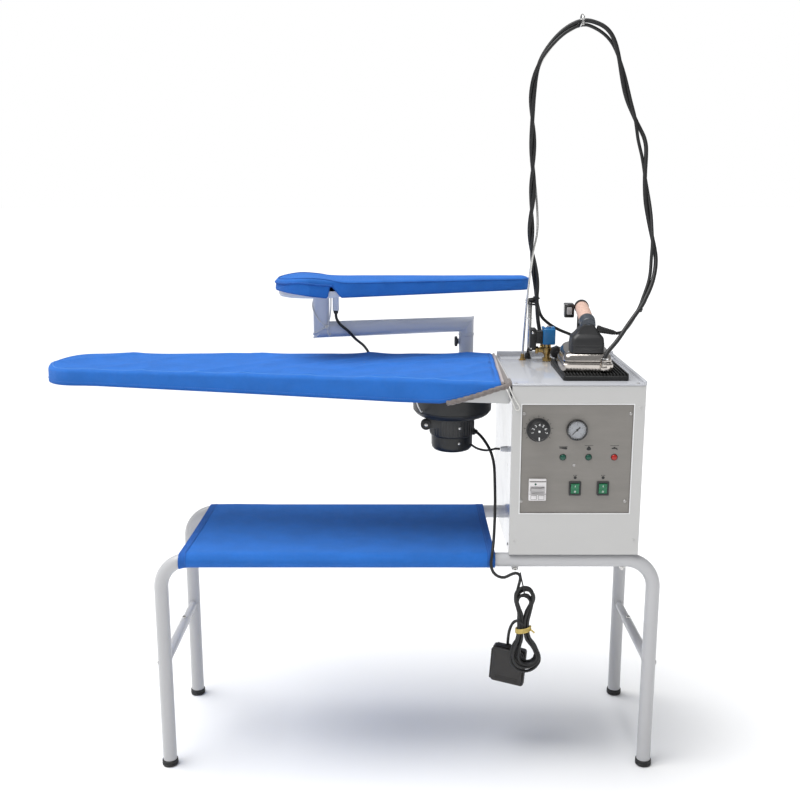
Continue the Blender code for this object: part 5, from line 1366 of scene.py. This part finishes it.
def make_board():
    outline = board_line((0.1935, 0.2050))
    top, bend = 0.8672, 0.0088
    left_end, right_end = min(p.x for p in outline), max(p.x for p in outline)
    rings = []

    def wrinkle(x, y):
        """Long soft creases that run slantwise over the padding."""
        u, v = x * 0.83 + y * 0.56, y * 0.83 - x * 0.56
        folds = 1 - abs(noise.noise(Vector((u * 3.4, v * 11, 0.3)))) * 2
        return 0.0052 * max(0.0, folds) ** 3 + 0.0019 * noise.noise(Vector((u * 7.0, v * 26, 4.1))) - 0.0018

    def ring(pulled, height_of, blow=0.0, creased=0.0):
        line = inset(outline, pulled) if pulled else outline
        made = []
        for source, point in zip(outline, line):
            z = height_of(source) + creased * wrinkle(point.x, point.y)
            swell = blow * (0.4 + noise.noise(Vector((source.x * 16, source.y * 16, z * 40))))
            away = (source - Vector((-0.25, 0.19))).normalized() * swell
            made.append(Vector((point.x + away.x, point.y + away.y, z)))
        rings.append(made)

    ring(0.0045, lambda p: skirt_foot(p.x) + 0.0016)
    ring(0.0020, lambda p: skirt_foot(p.x) + 0.0002)
    ring(0.0004, lambda p: skirt_foot(p.x))
    for share in (0.15, 0.4, 0.65, 0.85):
        ring(0.0, lambda p: skirt_foot(p.x) + (top - bend - skirt_foot(p.x)) * share, 0.0013)
    for degrees in (0, 15, 30, 45, 60, 75, 90):
        a = radians(degrees)
        ring(bend * (1 - cos(a)), lambda p: top - bend * (1 - sin(a)), 0.0008 * cos(a),
             0.5 * sin(a))
    ring(0.0096, lambda p: top - 0.0010, 0.0, 0.6)
    ring(0.0106, lambda p: top - 0.0010, 0.0, 0.7)
    ring(0.0120, lambda p: top + 0.0003, 0.0, 0.8)
    ring(0.0160, lambda p: top + 0.0008, 0.0, 1.0)
    inner = inset(outline, 0.0160)
    steps = 20
    for step in range(1, steps + 1):
        k = 1 - step / steps
        made = []
        room = 0.0160 + (1 - k) * 0.085
        for point in inner:
            x = min(max(point.x, left_end + room), right_end - room)
            front = 0.127 - 0.139 * min(1.0, max(0.0, (x + 0.795) / 1.0))
            middle = (front + 0.347) / 2
            y = middle + (point.y - middle) * k
            made.append(Vector((x, y, top + 0.0008 + 0.0012 * (1 - k * k) + wrinkle(x, y))))
        rings.append(made)
    cover = piece("ironing_cover", [skin(rings, merge=1e-5)], "blue_cloth", stands_for=["board_cover"],
                  sharp=80)

    seam = [Vector((p.x, p.y, top - 0.0004 + 0.65 * wrinkle(p.x, p.y))) for p in inset(outline, 0.0101)
            if p.x < 0.183]
    seam = rotate_open(seam)
    hem = rotate_open([Vector((p.x, p.y, skirt_foot(p.x) + 0.0008)) for p in inset(outline, 0.0006)
                       if p.x < 0.188])
    piece("cover_piping", [sweep(seam, 0.0013, 8)], "blue_piping", sharp=80)
    piece("cover_hem", [sweep(hem, 0.0017, 8)], "blue_hem", sharp=80)
    stitch_line = [Vector((p.x, p.y, skirt_foot(p.x) + 0.0070)) for p in inset(outline, -0.0012)
                   if p.x < 0.150]
    piece("cover_stitches", dashes(rotate_open(stitch_line), 0.0032, 0.0016, 0.0004), "thread", sharp=80)

    rolled = []
    for p in board_line((0.2095, 0.2095)):
        if p.x > 0.078 and p.y < 0.1:
            rise = skirt_foot(p.x) if p.x < 0.199 else 0.8625
            rolled.append(Vector((p.x, p.y - 0.0008, rise - 0.0030)))
    rolled.sort(key=lambda p: p.x - 0.02 * max(0.0, -0.002 - p.y))
    rolled = [p for p in rolled if p.x < 0.2075]
    rolled = smooth(rolled[::3] + [Vector((0.2090, -0.0040, 0.8625)), Vector((0.2098, 0.020, 0.8632))], 0.004)
    twist = []
    for i, point in enumerate(rolled):
        a = i * 0.9
        twist.append(point + Vector((0, -sin(a), cos(a))) * 0.0013)
    other = [point - Vector((0, -sin(i * 0.9), cos(i * 0.9))) * 0.0013 for i, point in enumerate(rolled)]
    strip = piece("felt_roll", [sweep(twist, 0.0049, 12), sweep(other, 0.0049, 12)], "felt", sharp=80)

    felt = []
    for p in board_line((0.2105, 0.2105), 0.0035):
        felt.append(p)
    under = stack([[(p.x, p.y, 0.8545) for p in felt], [(p.x, p.y, 0.8630) for p in felt],
                   [(p.x, p.y, 0.8638) for p in inset(felt, 0.0015)]])
    pad = piece("felt_pad", [under], "felt")
    white = [Vector((0.1952 + 0.0118 * t, -0.0075 + 0.350 * t, 0.8655 - 0.0012 * t))
             for t in (i / 40 for i in range(41))]
    piece("felt_edge", [sweep(white, 0.0030, 8)], "felt_light", sharp=80)
    piece("pan_edge", [sweep([Vector((0.2128, y, 0.8604)) for y in (-0.004, 0.1, 0.2, 0.3, 0.338)], 0.0011,
                             8)],
          "black_plastic", sharp=80)

    wall = board_line((0.2120, 0.2120), 0.0043)
    shell = [(0.0035, 0.0, 0), (0.0012, 0.0006, 0), (0.0, 0.0030, 0), (0.0, 0.0, 1), (0.0012, 0.0, 1),
             (0.0012, 0.0034, 0), (0.0040, 0.0014, 0)]
    tub = skin([[(p.x, p.y, rise + (PAN_RIM if upper else pan_foot(p.x)))
                 for p in (inset(wall, pulled) if pulled else wall)] for pulled, rise, upper in shell])
    floor_line = inset(wall, 0.0038)
    floor = stack([[(p.x, p.y, pan_foot(p.x) + z) for p in floor_line] for z in (0.0001, 0.0016)])
    lips = [sweep([Vector((0.2118, y, 0.8612)) for y in (-0.004, 0.1, 0.2, 0.3, 0.338)], 0.0016, 8)]
    piece("plenum", [tub, floor] + lips, "plenum_paint", stands_for=["board_pan"])
    gland = lathe([(0, 0), (0.0088, 0), (0.0088, 0.0016), (0.0066, 0.0022), (0.0062, 0.0110),
                   (0.0048, 0.0138),
                   (0, 0.0138)], 24, (0.040, 0.325, pan_foot(0.040)), (0, 0, -1))
    rivets = [screw_head((x, 0.20, pan_foot(x)), (0, 0, -1), 0.0036, 0.0014)
              for x in (-0.70, -0.45, -0.18, 0.195)]
    piece("board_gland", [gland], "rubber")
    piece("board_rivets", rivets, "steel")


def rotate_open(points):
    """Starts an open run of a closed outline at the gap that was cut from it."""
    gaps = [(points[i] - points[i - 1]).length for i in range(len(points))]
    start = max(range(len(points)), key=lambda i: gaps[i])
    return points[start:] + points[:start]


def make_fan():
    x, y, top = 0.100, 0.150, 0.8202
    drum = [(0.0460, -0.0028), (0.0460, 0.0), (0.0872, 0.0), (0.0880, -0.0010), (0.0880, -0.0040),
            (0.0862, -0.0052), (0.0860, -0.0400), (0.0850, -0.0440), (0.0800, -0.0515), (0.0740, -0.0560),
            (0.0640, -0.0580), (0.0125, -0.0580), (0.0125, -0.0512), (0.0740, -0.0505), (0.0820, -0.0400),
            (0.0830, -0.0028)]
    wall = skin([[(x + r * cos(a), y + r * sin(a), top + z) for a in around(96)] for r, z in drum], loop=True)
    beads = [ring_shape(0.0850, 0.0008, (x, y, top - 0.0438), (0, 0, 1), 80),
             ring_shape(0.0660, 0.0010, (x, y, top - 0.0579), (0, 0, 1), 64)]
    piece("fan_drum", [wall] + beads, "fan_black", stands_for=["fan_housing"])
    bottom = top - 0.0583
    low = 0.6850 - bottom
    body = [(0, 0), (0.0470, 0), (0.0488, -0.0010), (0.0488, low * 0.52), (0.0476, low * 0.55),
            (0.0455, low * 0.57), (0.0452, low * 0.84), (0.0438, low * 0.92), (0.0400, low * 0.98),
            (0.0360, low), (0, low)]
    motor = [lathe(body, 72, (x, y, bottom - 0.0001))]
    for i in range(40):
        a = tau * i / 40
        if abs(sin(a / 2 - 2.35)) > 0.985:
            continue
        fin = box((0.0470, -0.0009, low * 0.50), (0.0496, 0.0009, -0.0030), 0.0004, 1)
        turn = Matrix.Translation((x, y, bottom)) @ Matrix.Rotation(a, 4, "Z")
        fin.transform(turn)
        motor.append(fin)
    motor.append(rod((x - 0.058, y - 0.030, bottom - 0.013), (x - 0.058, y - 0.0420, bottom - 0.013), 0.0120,
                     None,
                     40, 0.0012))
    motor.append(ring_shape(0.0095, 0.0012, (x - 0.058, y - 0.0420, bottom - 0.013), (0, -1, 0), 36))
    motor.append(box((x - 0.058, y - 0.040, bottom - 0.022), (x - 0.020, y - 0.032, bottom + 0.001), 0.0012))
    motor.append(lathe([(0, 0), (0.0075, 0), (0.0075, 0.006), (0.0052, 0.0075), (0.0045, 0.0120),
                        (0, 0.0120)], 24,
                       (x + 0.044, y - 0.008, bottom - 0.0360), (1, -0.35, 0)))
    piece("motor_body", motor, "fan_black", stands_for=["fan_motor"])
    screws = [screw_head((x - 0.058, y - 0.0432, bottom - 0.013), TOWARDS, 0.0040, 0.0020)]
    for angle in (-72, 40, 160):
        a = radians(angle)
        at = Vector((x + 0.0452 * cos(a), y + 0.0452 * sin(a), bottom + low * 0.72))
        screws.append(screw_head(at, (cos(a), sin(a), 0), 0.0030, 0.0014))
    a = radians(-72)
    screws.append(screw_head((x + 0.0486 * cos(a), y + 0.0486 * sin(a), bottom + low * 0.26),
                             (cos(a), sin(a), 0), 0.0034, 0.0016))
    for i in range(4):
        a = radians(20 + 47 * i)
        screws.append(screw_head((x + 0.0780 * cos(a), y + 0.0800 * sin(a), top - 0.0532),
                                 (0.25 * cos(a), 0.25 * sin(a), -1), 0.0032, 0.0016))
    piece("fan_screws", screws, "steel")
    add_cord("fan_cord", smooth(FAN_CABLE, 0.006), FAN_D, ["fan_cable"])


def make_board_ties():
    screw = Vector((0.2247, CAB_FRONT - 0.0018, 0.8146))
    around = [screw + Vector((0.0048 * sin(a), -0.0002, 0.0048 * cos(a)))
              for a in (radians(d) for d in (75, 120, 165, 210, 255))]
    line = [Vector((0.2075, -0.0085, 0.8622)), Vector((0.2080, -0.0150, 0.8570)),
            Vector((0.2165, -0.0188, 0.8380)),
            *around, Vector((0.2110, -0.0188, 0.8340)), Vector((0.2035, -0.0160, 0.8500)),
            Vector((0.2015, -0.0100, 0.8530))]
    add_cord("board_tie", smooth(line, 0.003), 0.0030, (), finish="white_cord",
             sides=8)
    line = [Vector((0.0190, 0.0220, 0.8300)), Vector((0.0195, 0.0185, 0.8205)),
            Vector((0.0225, 0.0330, 0.8080)),
            Vector((0.0265, 0.0520, 0.7960)), Vector((0.0300, 0.0730, 0.7860)),
            Vector((0.0330, 0.0900, 0.7830))]
    add_cord("skirt_tie", smooth(line, 0.003), 0.0028, (), finish="white_cord",
             sides=8)


# ---------------------------------------------------------------- arm and sleeve board

ARM = STATION @ Matrix.Translation((0.145, 0.395, 0)) @ Matrix.Rotation(radians(15.3), 4, "Z")
ARM_LENGTH, ARM_R, ARM_Z, ARM_SEAM = 0.354, 0.0175, 0.929, 0.902
SLEEVE = ARM @ Matrix.Translation((-ARM_LENGTH, 0, 0)) @ Matrix.Rotation(radians(-6.6), 4, "Z")


def make_arm():
    x, y = 0.145, 0.395
    post = [rod((x, y, 0.800), (x, y, ARM_SEAM - 0.0003), ARM_R, None, 48, 0.0012),
            box((x - 0.030, 0.3473, 0.8215), (x + 0.030, y - 0.006, 0.8275), 0.0012),
            box((x - 0.030, 0.3170, 0.8140), (x + 0.030, y - 0.006, 0.8198), 0.0012),
            rod((x - ARM_R - 0.002, y, 0.887), (x - 0.010, y, 0.887), 0.0065, None, 32, 0.0006)]
    for z in (0.8280, 0.8135):
        post.append(ring_shape(ARM_R + 0.0006, 0.0016, (x, y, z), (0, 0, 1), 48))
    piece("post_tube", post, "arm_paint", stands_for=["arm_post"])
    bolts = [nut((x + dx, 0.332, 0.8140), (0, 0, -1), 0.0060, 0.0045) for dx in (-0.020, 0.020)]
    piece("post_bolts", bolts, "steel")
    lobed = [(0, 0), (0.0062, 0), (0.0070, 0.0012), (0.0114, 0.0020), (0.0120, 0.0036), (0.0120, 0.0066),
             (0.0110, 0.0082), (0.0070, 0.0088), (0, 0.0086)]
    knob = [lathe(lobed, 72, (x - ARM_R - 0.0022, y, 0.887), (-1, 0, 0), lobes=6, depth=0.075)]
    piece("clamp_handle", knob, "black_plastic", "clamp_knob", stands_for=["clamp_knob"])

    sides = 48
    rings = []
    plan = ((-ARM_LENGTH, 1.0090, 0, 0.0186), (-ARM_LENGTH, ARM_Z, 1, 0.0186), (0.0, ARM_Z, 1, ARM_R),
            (0.0, ARM_SEAM, 0, ARM_R))
    for along, z, slope, r in plan:
        rings.append([(along + r * cos(a), r * sin(a), z + slope * r * cos(a))
                      for a in around(sides)])
    beads = []
    for k in (1, 2):
        middle = Vector((plan[k][0], 0, plan[k][1]))
        beads.append(sweep([middle + (Vector(p) - middle) * 1.012 for p in rings[k] + rings[k][:1]], 0.0009,
                           8))
    collar = lathe([(ARM_R, 0), (ARM_R + 0.0012, 0.0004), (ARM_R + 0.0012, 0.0052), (ARM_R, 0.0060),
                    (0, 0.0060)], 48, (0, 0, ARM_SEAM))
    flange = lathe([(0, 0), (ARM_R + 0.006, 0), (ARM_R + 0.006, 0.0022), (0, 0.0022)], 48,
                   (-ARM_LENGTH, 0, 1.0070))
    piece("arm_tube", [stack(rings)] + beads + [collar, flange], "arm_paint", "arm", ARM,
          stands_for=["swing_arm"], sharp=30)


def sleeve_line(pulled=0.0):
    wide, narrow = 0.083 - pulled, 0.028 - pulled
    left, right = -0.102 + pulled, 0.490 - pulled
    end = arc((left + wide, 0), wide, 98, 262, 40)
    tip = arc((right - narrow, 0), narrow, -80, 80, 18)
    return resample(end + tip, 0.0036)


def sleeve_foot(p):
    """How low the sleeve cover hangs; the front edge parts in a notch over the upright."""
    x, y = p.x, p.y
    low = 1.0100 + 0.0140 * min(1.0, max(0.0, 0.008 - x) / 0.100) + 0.0068 * max(0.0, x / 0.49)
    if y < 0 and 0.0080 < x < 0.0395:
        notch = (x - 0.0080) / 0.0060 if x < 0.0140 else (0.0395 - x) / 0.0255
        low += 0.0300 * max(0.0, min(1.0, notch)) ** 0.9
    return low


TRAY_RIM = 1.0250


def tray_foot(x):
    """The tray's underside, seen below the cover only near the upright."""
    return 1.0095 + (0.0022 + 0.0068 * max(0.0, x / 0.49)) * eased(x, 0.010, 0.055)


def make_sleeve_board():
    outline = sleeve_line()
    rings = []

    def swell(p, height, amount):
        away = Vector((0.0, 1.0 if p.y > 0 else -1.0))
        if p.x < -0.02:
            away = Vector((p.x + 0.017, p.y)).normalized()
        return away * amount * (0.6 + noise.noise(Vector((p.x * 30, p.y * 30, height * 60))))

    def top_of(p):
        crown = 0.0068 * exp(-((p.x + 0.040) / 0.058) ** 2)
        return 1.0478 + crown - 0.0020 * max(0.0,
                                             p.x / 0.49) + 0.0008 * noise.noise(Vector((p.x * 9, p.y * 9, 2)))

    def ring(pulled, height_of, blow=0.0):
        made = []
        for source, point in zip(outline, inset(outline, pulled) if pulled else outline):
            z = height_of(source)
            out = swell(source, z, blow)
            made.append(Vector((point.x + out.x, point.y + out.y, z)))
        rings.append(made)

    ring(0.0060, lambda p: sleeve_foot(p) + 0.0020)
    ring(0.0022, lambda p: sleeve_foot(p) + 0.0003)
    ring(0.0003, lambda p: sleeve_foot(p))
    for share in (0.12, 0.35, 0.60, 0.82):
        ring(0.0, lambda p: sleeve_foot(p) + (top_of(p) - 0.004 - sleeve_foot(p)) * share, 0.0016)
    for degrees in (0, 18, 36, 54, 72, 90):
        a = radians(degrees)
        ring(0.0072 * (1 - cos(a)), lambda p: top_of(p) - 0.0072 * (1 - sin(a)), 0.0010 * cos(a))
    ring(0.0090, lambda p: top_of(p) - 0.0009 * (1 - eased(p.x, 0.0, 0.06)))
    steps = 12
    for step in range(1, steps + 1):
        k = 1 - step / steps
        made = []
        room = 0.009 + (1 - k) * 0.072
        for point in inset(outline, 0.0090):
            x = min(max(point.x, -0.102 + room), 0.490 - room * 0.4)
            y = point.y * k
            spot = Vector((x, y))
            crease = 0.0010 * sin(x * 110 + y * 70) * exp(-((x - 0.03) / 0.07) ** 2)
            slant = 0.0010 * noise.noise(Vector(((x + y) * 9, (y - x) * 30, 5)))
            made.append(Vector((x, y,
                                top_of(spot) + 0.0004 + 0.0014 * (1 - k * k) + (crease + slant) * (1 - k))))
        rings.append(made)
    cover = piece("sleeve_pad", [skin(rings, merge=1e-5)], "blue_cloth", "arm", SLEEVE,
                  stands_for=["sleeve_cover"],
                  sharp=80)
    seam = []
    for outer, p in zip(outline, inset(outline, 0.0040)):
        a = radians(82 - 66 * eased(outer.x, -0.01, 0.05))
        spot = outer + (p - outer).normalized() * (0.0070 * (1 - cos(a)) - 0.0004)
        seam.append(Vector((spot.x, spot.y, top_of(outer) - 0.0072 * (1 - sin(a)) + 0.0003)))
    seam.append(seam[0])
    hem = [Vector((p.x, p.y, sleeve_foot(p) + 0.0010)) for p in inset(outline, 0.0004)]
    hem.append(hem[0])
    flap = [Vector((p.x, p.y, top_of(p) - 0.0085 - 0.0050 * eased(p.x, -0.10, 0.02) + 0.0008 * sin(p.x * 90)))
            for p in inset(outline, -0.0012) if p.x < 0.0200]
    piece("sleeve_piping",
          [sweep(seam, 0.0013, 8), sweep(hem, 0.0016, 8), sweep(rotate_open(flap), 0.0024, 8)],
          "blue_hem", "arm", SLEEVE, sharp=80)

    wall = resample([(p.x, p.y) for p in sleeve_line(0.0060)], 0.006)
    shell = [(0.0060, 0.0, 0), (0.0024, 0.0008, 0), (0.0004, 0.0034, 0), (0.0, 0.0070, 0), (0.0, 0.0, 1),
             (0.0014, 0.0, 1), (0.0014, 0.0072, 0), (0.0040, 0.0026, 0), (0.0070, 0.0018, 0)]
    tub = skin([[(p.x, p.y, rise + (TRAY_RIM if upper else tray_foot(p.x)))
                 for p in (inset(wall, pulled) if pulled else wall)] for pulled, rise, upper in shell])
    floor_line = inset(wall, 0.0062)
    floor = stack([[(p.x, p.y, tray_foot(p.x) + z) for p in floor_line] for z in (0.0001, 0.0018)])
    pipe = lathe([(0, 0), (0.0064, 0), (0.0073, 0.0006), (0.0073, 0.0365), (0, 0.0365)], 40,
                 (0.0325, -0.012, 0.9745))
    weld = ring_shape(0.0078, 0.0012, (0.0325, -0.012, 1.0088), (0, 0, 1), 36)
    piece("sleeve_pan", [tub, floor, pipe, weld], "tray_paint", "arm", SLEEVE, stands_for=["sleeve_tray"])
    grommet = lathe([(0, 0), (0.0046, 0), (0.0054, 0.0010), (0.0056, 0.0052), (0.0066, 0.0060),
                     (0.0066, 0.0078),
                     (0, 0.0078)], 32, (0.0325, -0.012, 0.9674))
    piece("pipe_grommet", [grommet], "rubber", "arm", SLEEVE)
    screws = [screw_head((x, 0, tray_foot(x)), (0, 0, -1), 0.0034, 0.0014)
              for x in (-0.055, 0.14, 0.30, 0.44)]
    piece("sleeve_screws", screws, "steel", "arm", SLEEVE)

    path = smooth(SLEEVE_CABLE, 0.006)
    lift = dict(a="arm", b="root", start=ORIGIN + Vector((-0.150, 0.2885, 0.943)),
                end=ORIGIN + Vector((0.005, 0.382, 0.770)))
    add_cord("sleeve_cord", path, SLEEVE_CABLE_D, ["sleeve_cable"], blend=lift)
    make_sleeve_ties()


def make_sleeve_ties():
    cx, cy, r = -0.1965, 0.3016, 0.0201

    def round_post(degrees, z, radius=r):
        a = radians(degrees)
        return Vector((cx + radius * sin(a), cy - radius * cos(a), z))

    knot = round_post(38, 0.9375, 0.0218)
    first = [round_post(-135, 1.0040, 0.0216), round_post(-118, 0.9990), round_post(-88, 0.9875),
             round_post(-60, 0.9755), round_post(-30, 0.9610), round_post(0, 0.9490), knot,
             round_post(54, 0.9500, 0.0220), round_post(66, 0.9640, 0.0228), round_post(76, 0.9820, 0.0230),
             round_post(80, 1.0020, 0.0230), round_post(80, 1.0100, 0.0224)]
    add_cord("sleeve_tie_upper", smooth(first, 0.003), 0.0028, (), "arm", finish="white_cord",
             sides=8)
    second = [round_post(-150, 0.9300), round_post(-115, 0.9200), round_post(-80, 0.9190),
              round_post(-50, 0.9215),
              round_post(-20, 0.9265), round_post(8, 0.9325), round_post(28, 0.9358, 0.0212),
              round_post(40, 0.9330, 0.0224), round_post(40, 0.9250, 0.0232), round_post(48, 0.9175, 0.0240),
              round_post(58, 0.9190, 0.0245), round_post(62, 0.9280, 0.0245), round_post(52, 0.9340, 0.0240)]
    add_cord("sleeve_tie_lower", smooth(second, 0.003), 0.0026, (), "arm", finish="white_cord",
             sides=8)
    turns = []
    for tilt in (0.5, -0.6):
        loop = [knot + Vector((0.0036 * cos(a), -0.0010 + 0.0020 * sin(a),
                               0.0030 * sin(a + tilt))) for a in around(18, True)]
        turns.append(sweep(loop, 0.0015, 8))
    piece("sleeve_tie_knot", turns, "white_cord", "arm")


# ---------------------------------------------------------------- pedal

def make_pedal():
    """A flat foot pedal with a smooth hinged leaf, hanging by the cable entry on its top edge."""
    place = (STATION @ Matrix.Translation((0.2225, 0.0270, 0.2225)) @ Matrix.Rotation(radians(-20), 4, "Z")
             @ Matrix.Rotation(radians(4), 4, "Y"))
    half_w, half_h = 0.037, 0.043
    base = [stack([[(x, y, z) for x,
                    z in round_rect((-half_w + g, -half_h + g), (half_w - g, half_h - g), 0.006)]
                   for y, g in ((0.0140, 0.0012), (0.0130, 0.0), (0.0015, 0.0), (0.0, 0.0010))]),
            rod((-0.032, -0.0030, 0.0060 - half_h), (0.032, -0.0030, 0.0060 - half_h), 0.0026, None, 24,
                0.0004),
            box((-half_w - 0.0035, 0.0010, -half_h + 0.004), (-half_w + 0.004, 0.0110, half_h - 0.012),
                0.0010),
            box((-0.0300, 0.0020, half_h - 0.002), (0.0060, 0.0130, half_h + 0.0024), 0.0014),
            lathe([(0, 0), (0.0052, 0), (0.0052, 0.0020), (0.0042, 0.0050), (0, 0.0050)], 28,
                  (-0.0025, 0.0075, half_h - 0.0006), (0, 0, 1))]
    piece("pedal_body", base, "pedal", place=place, stands_for=["pedal_base"])
    leaf = [stack([[(x, y, z) for x, z in round_rect((-0.0335 + g, 0.0072 - half_h + g),
                                                     (0.0335 - g, half_h - 0.0008 - g), 0.007)]
                   for y, g in ((-0.0045, 0.0006), (-0.0055, 0.0), (-0.0098, 0.0), (-0.0110, 0.0012))])]
    for z in (-0.0300, -0.0265, -0.0230):
        leaf.append(box((-0.0260, -0.0116, z - 0.0007), (0.0260, -0.0106, z + 0.0007), 0.0004, 2))
    leaf += [box((x - 0.0012, -0.0113, -0.012), (x + 0.0012, -0.0104, 0.032), 0.0004, 2)
             for x in (-0.0285, 0.0285)]
    piece("pedal_leaf", leaf, "pedal", "pedal_plate", place, stands_for=["pedal_plate"])


# ---------------------------------------------------------------- everything

CAD_LOOKS = {
    "cabinet_shell": "cabinet_paint", "cabinet_back": "cabinet_paint", "boiler_tank": "steel",
    "heating_element": "brass", "impeller": "steel",
}


def dress_cad_nodes():
    for name, finish in CAD_LOOKS.items():
        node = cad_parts[name]
        node.data.materials.clear()
        node.data.materials.append(LOOKS[finish])


make_camera()
make_stage()
make_bundle()
make_pedal()
make_pedal_cord()
make_mast()
make_stand()
make_shelf()
make_cabinet()
make_panel()
make_valve()
make_iron()
make_board()
make_fan()
make_board_ties()
make_arm()
make_sleeve_board()
dress_cad_nodes()
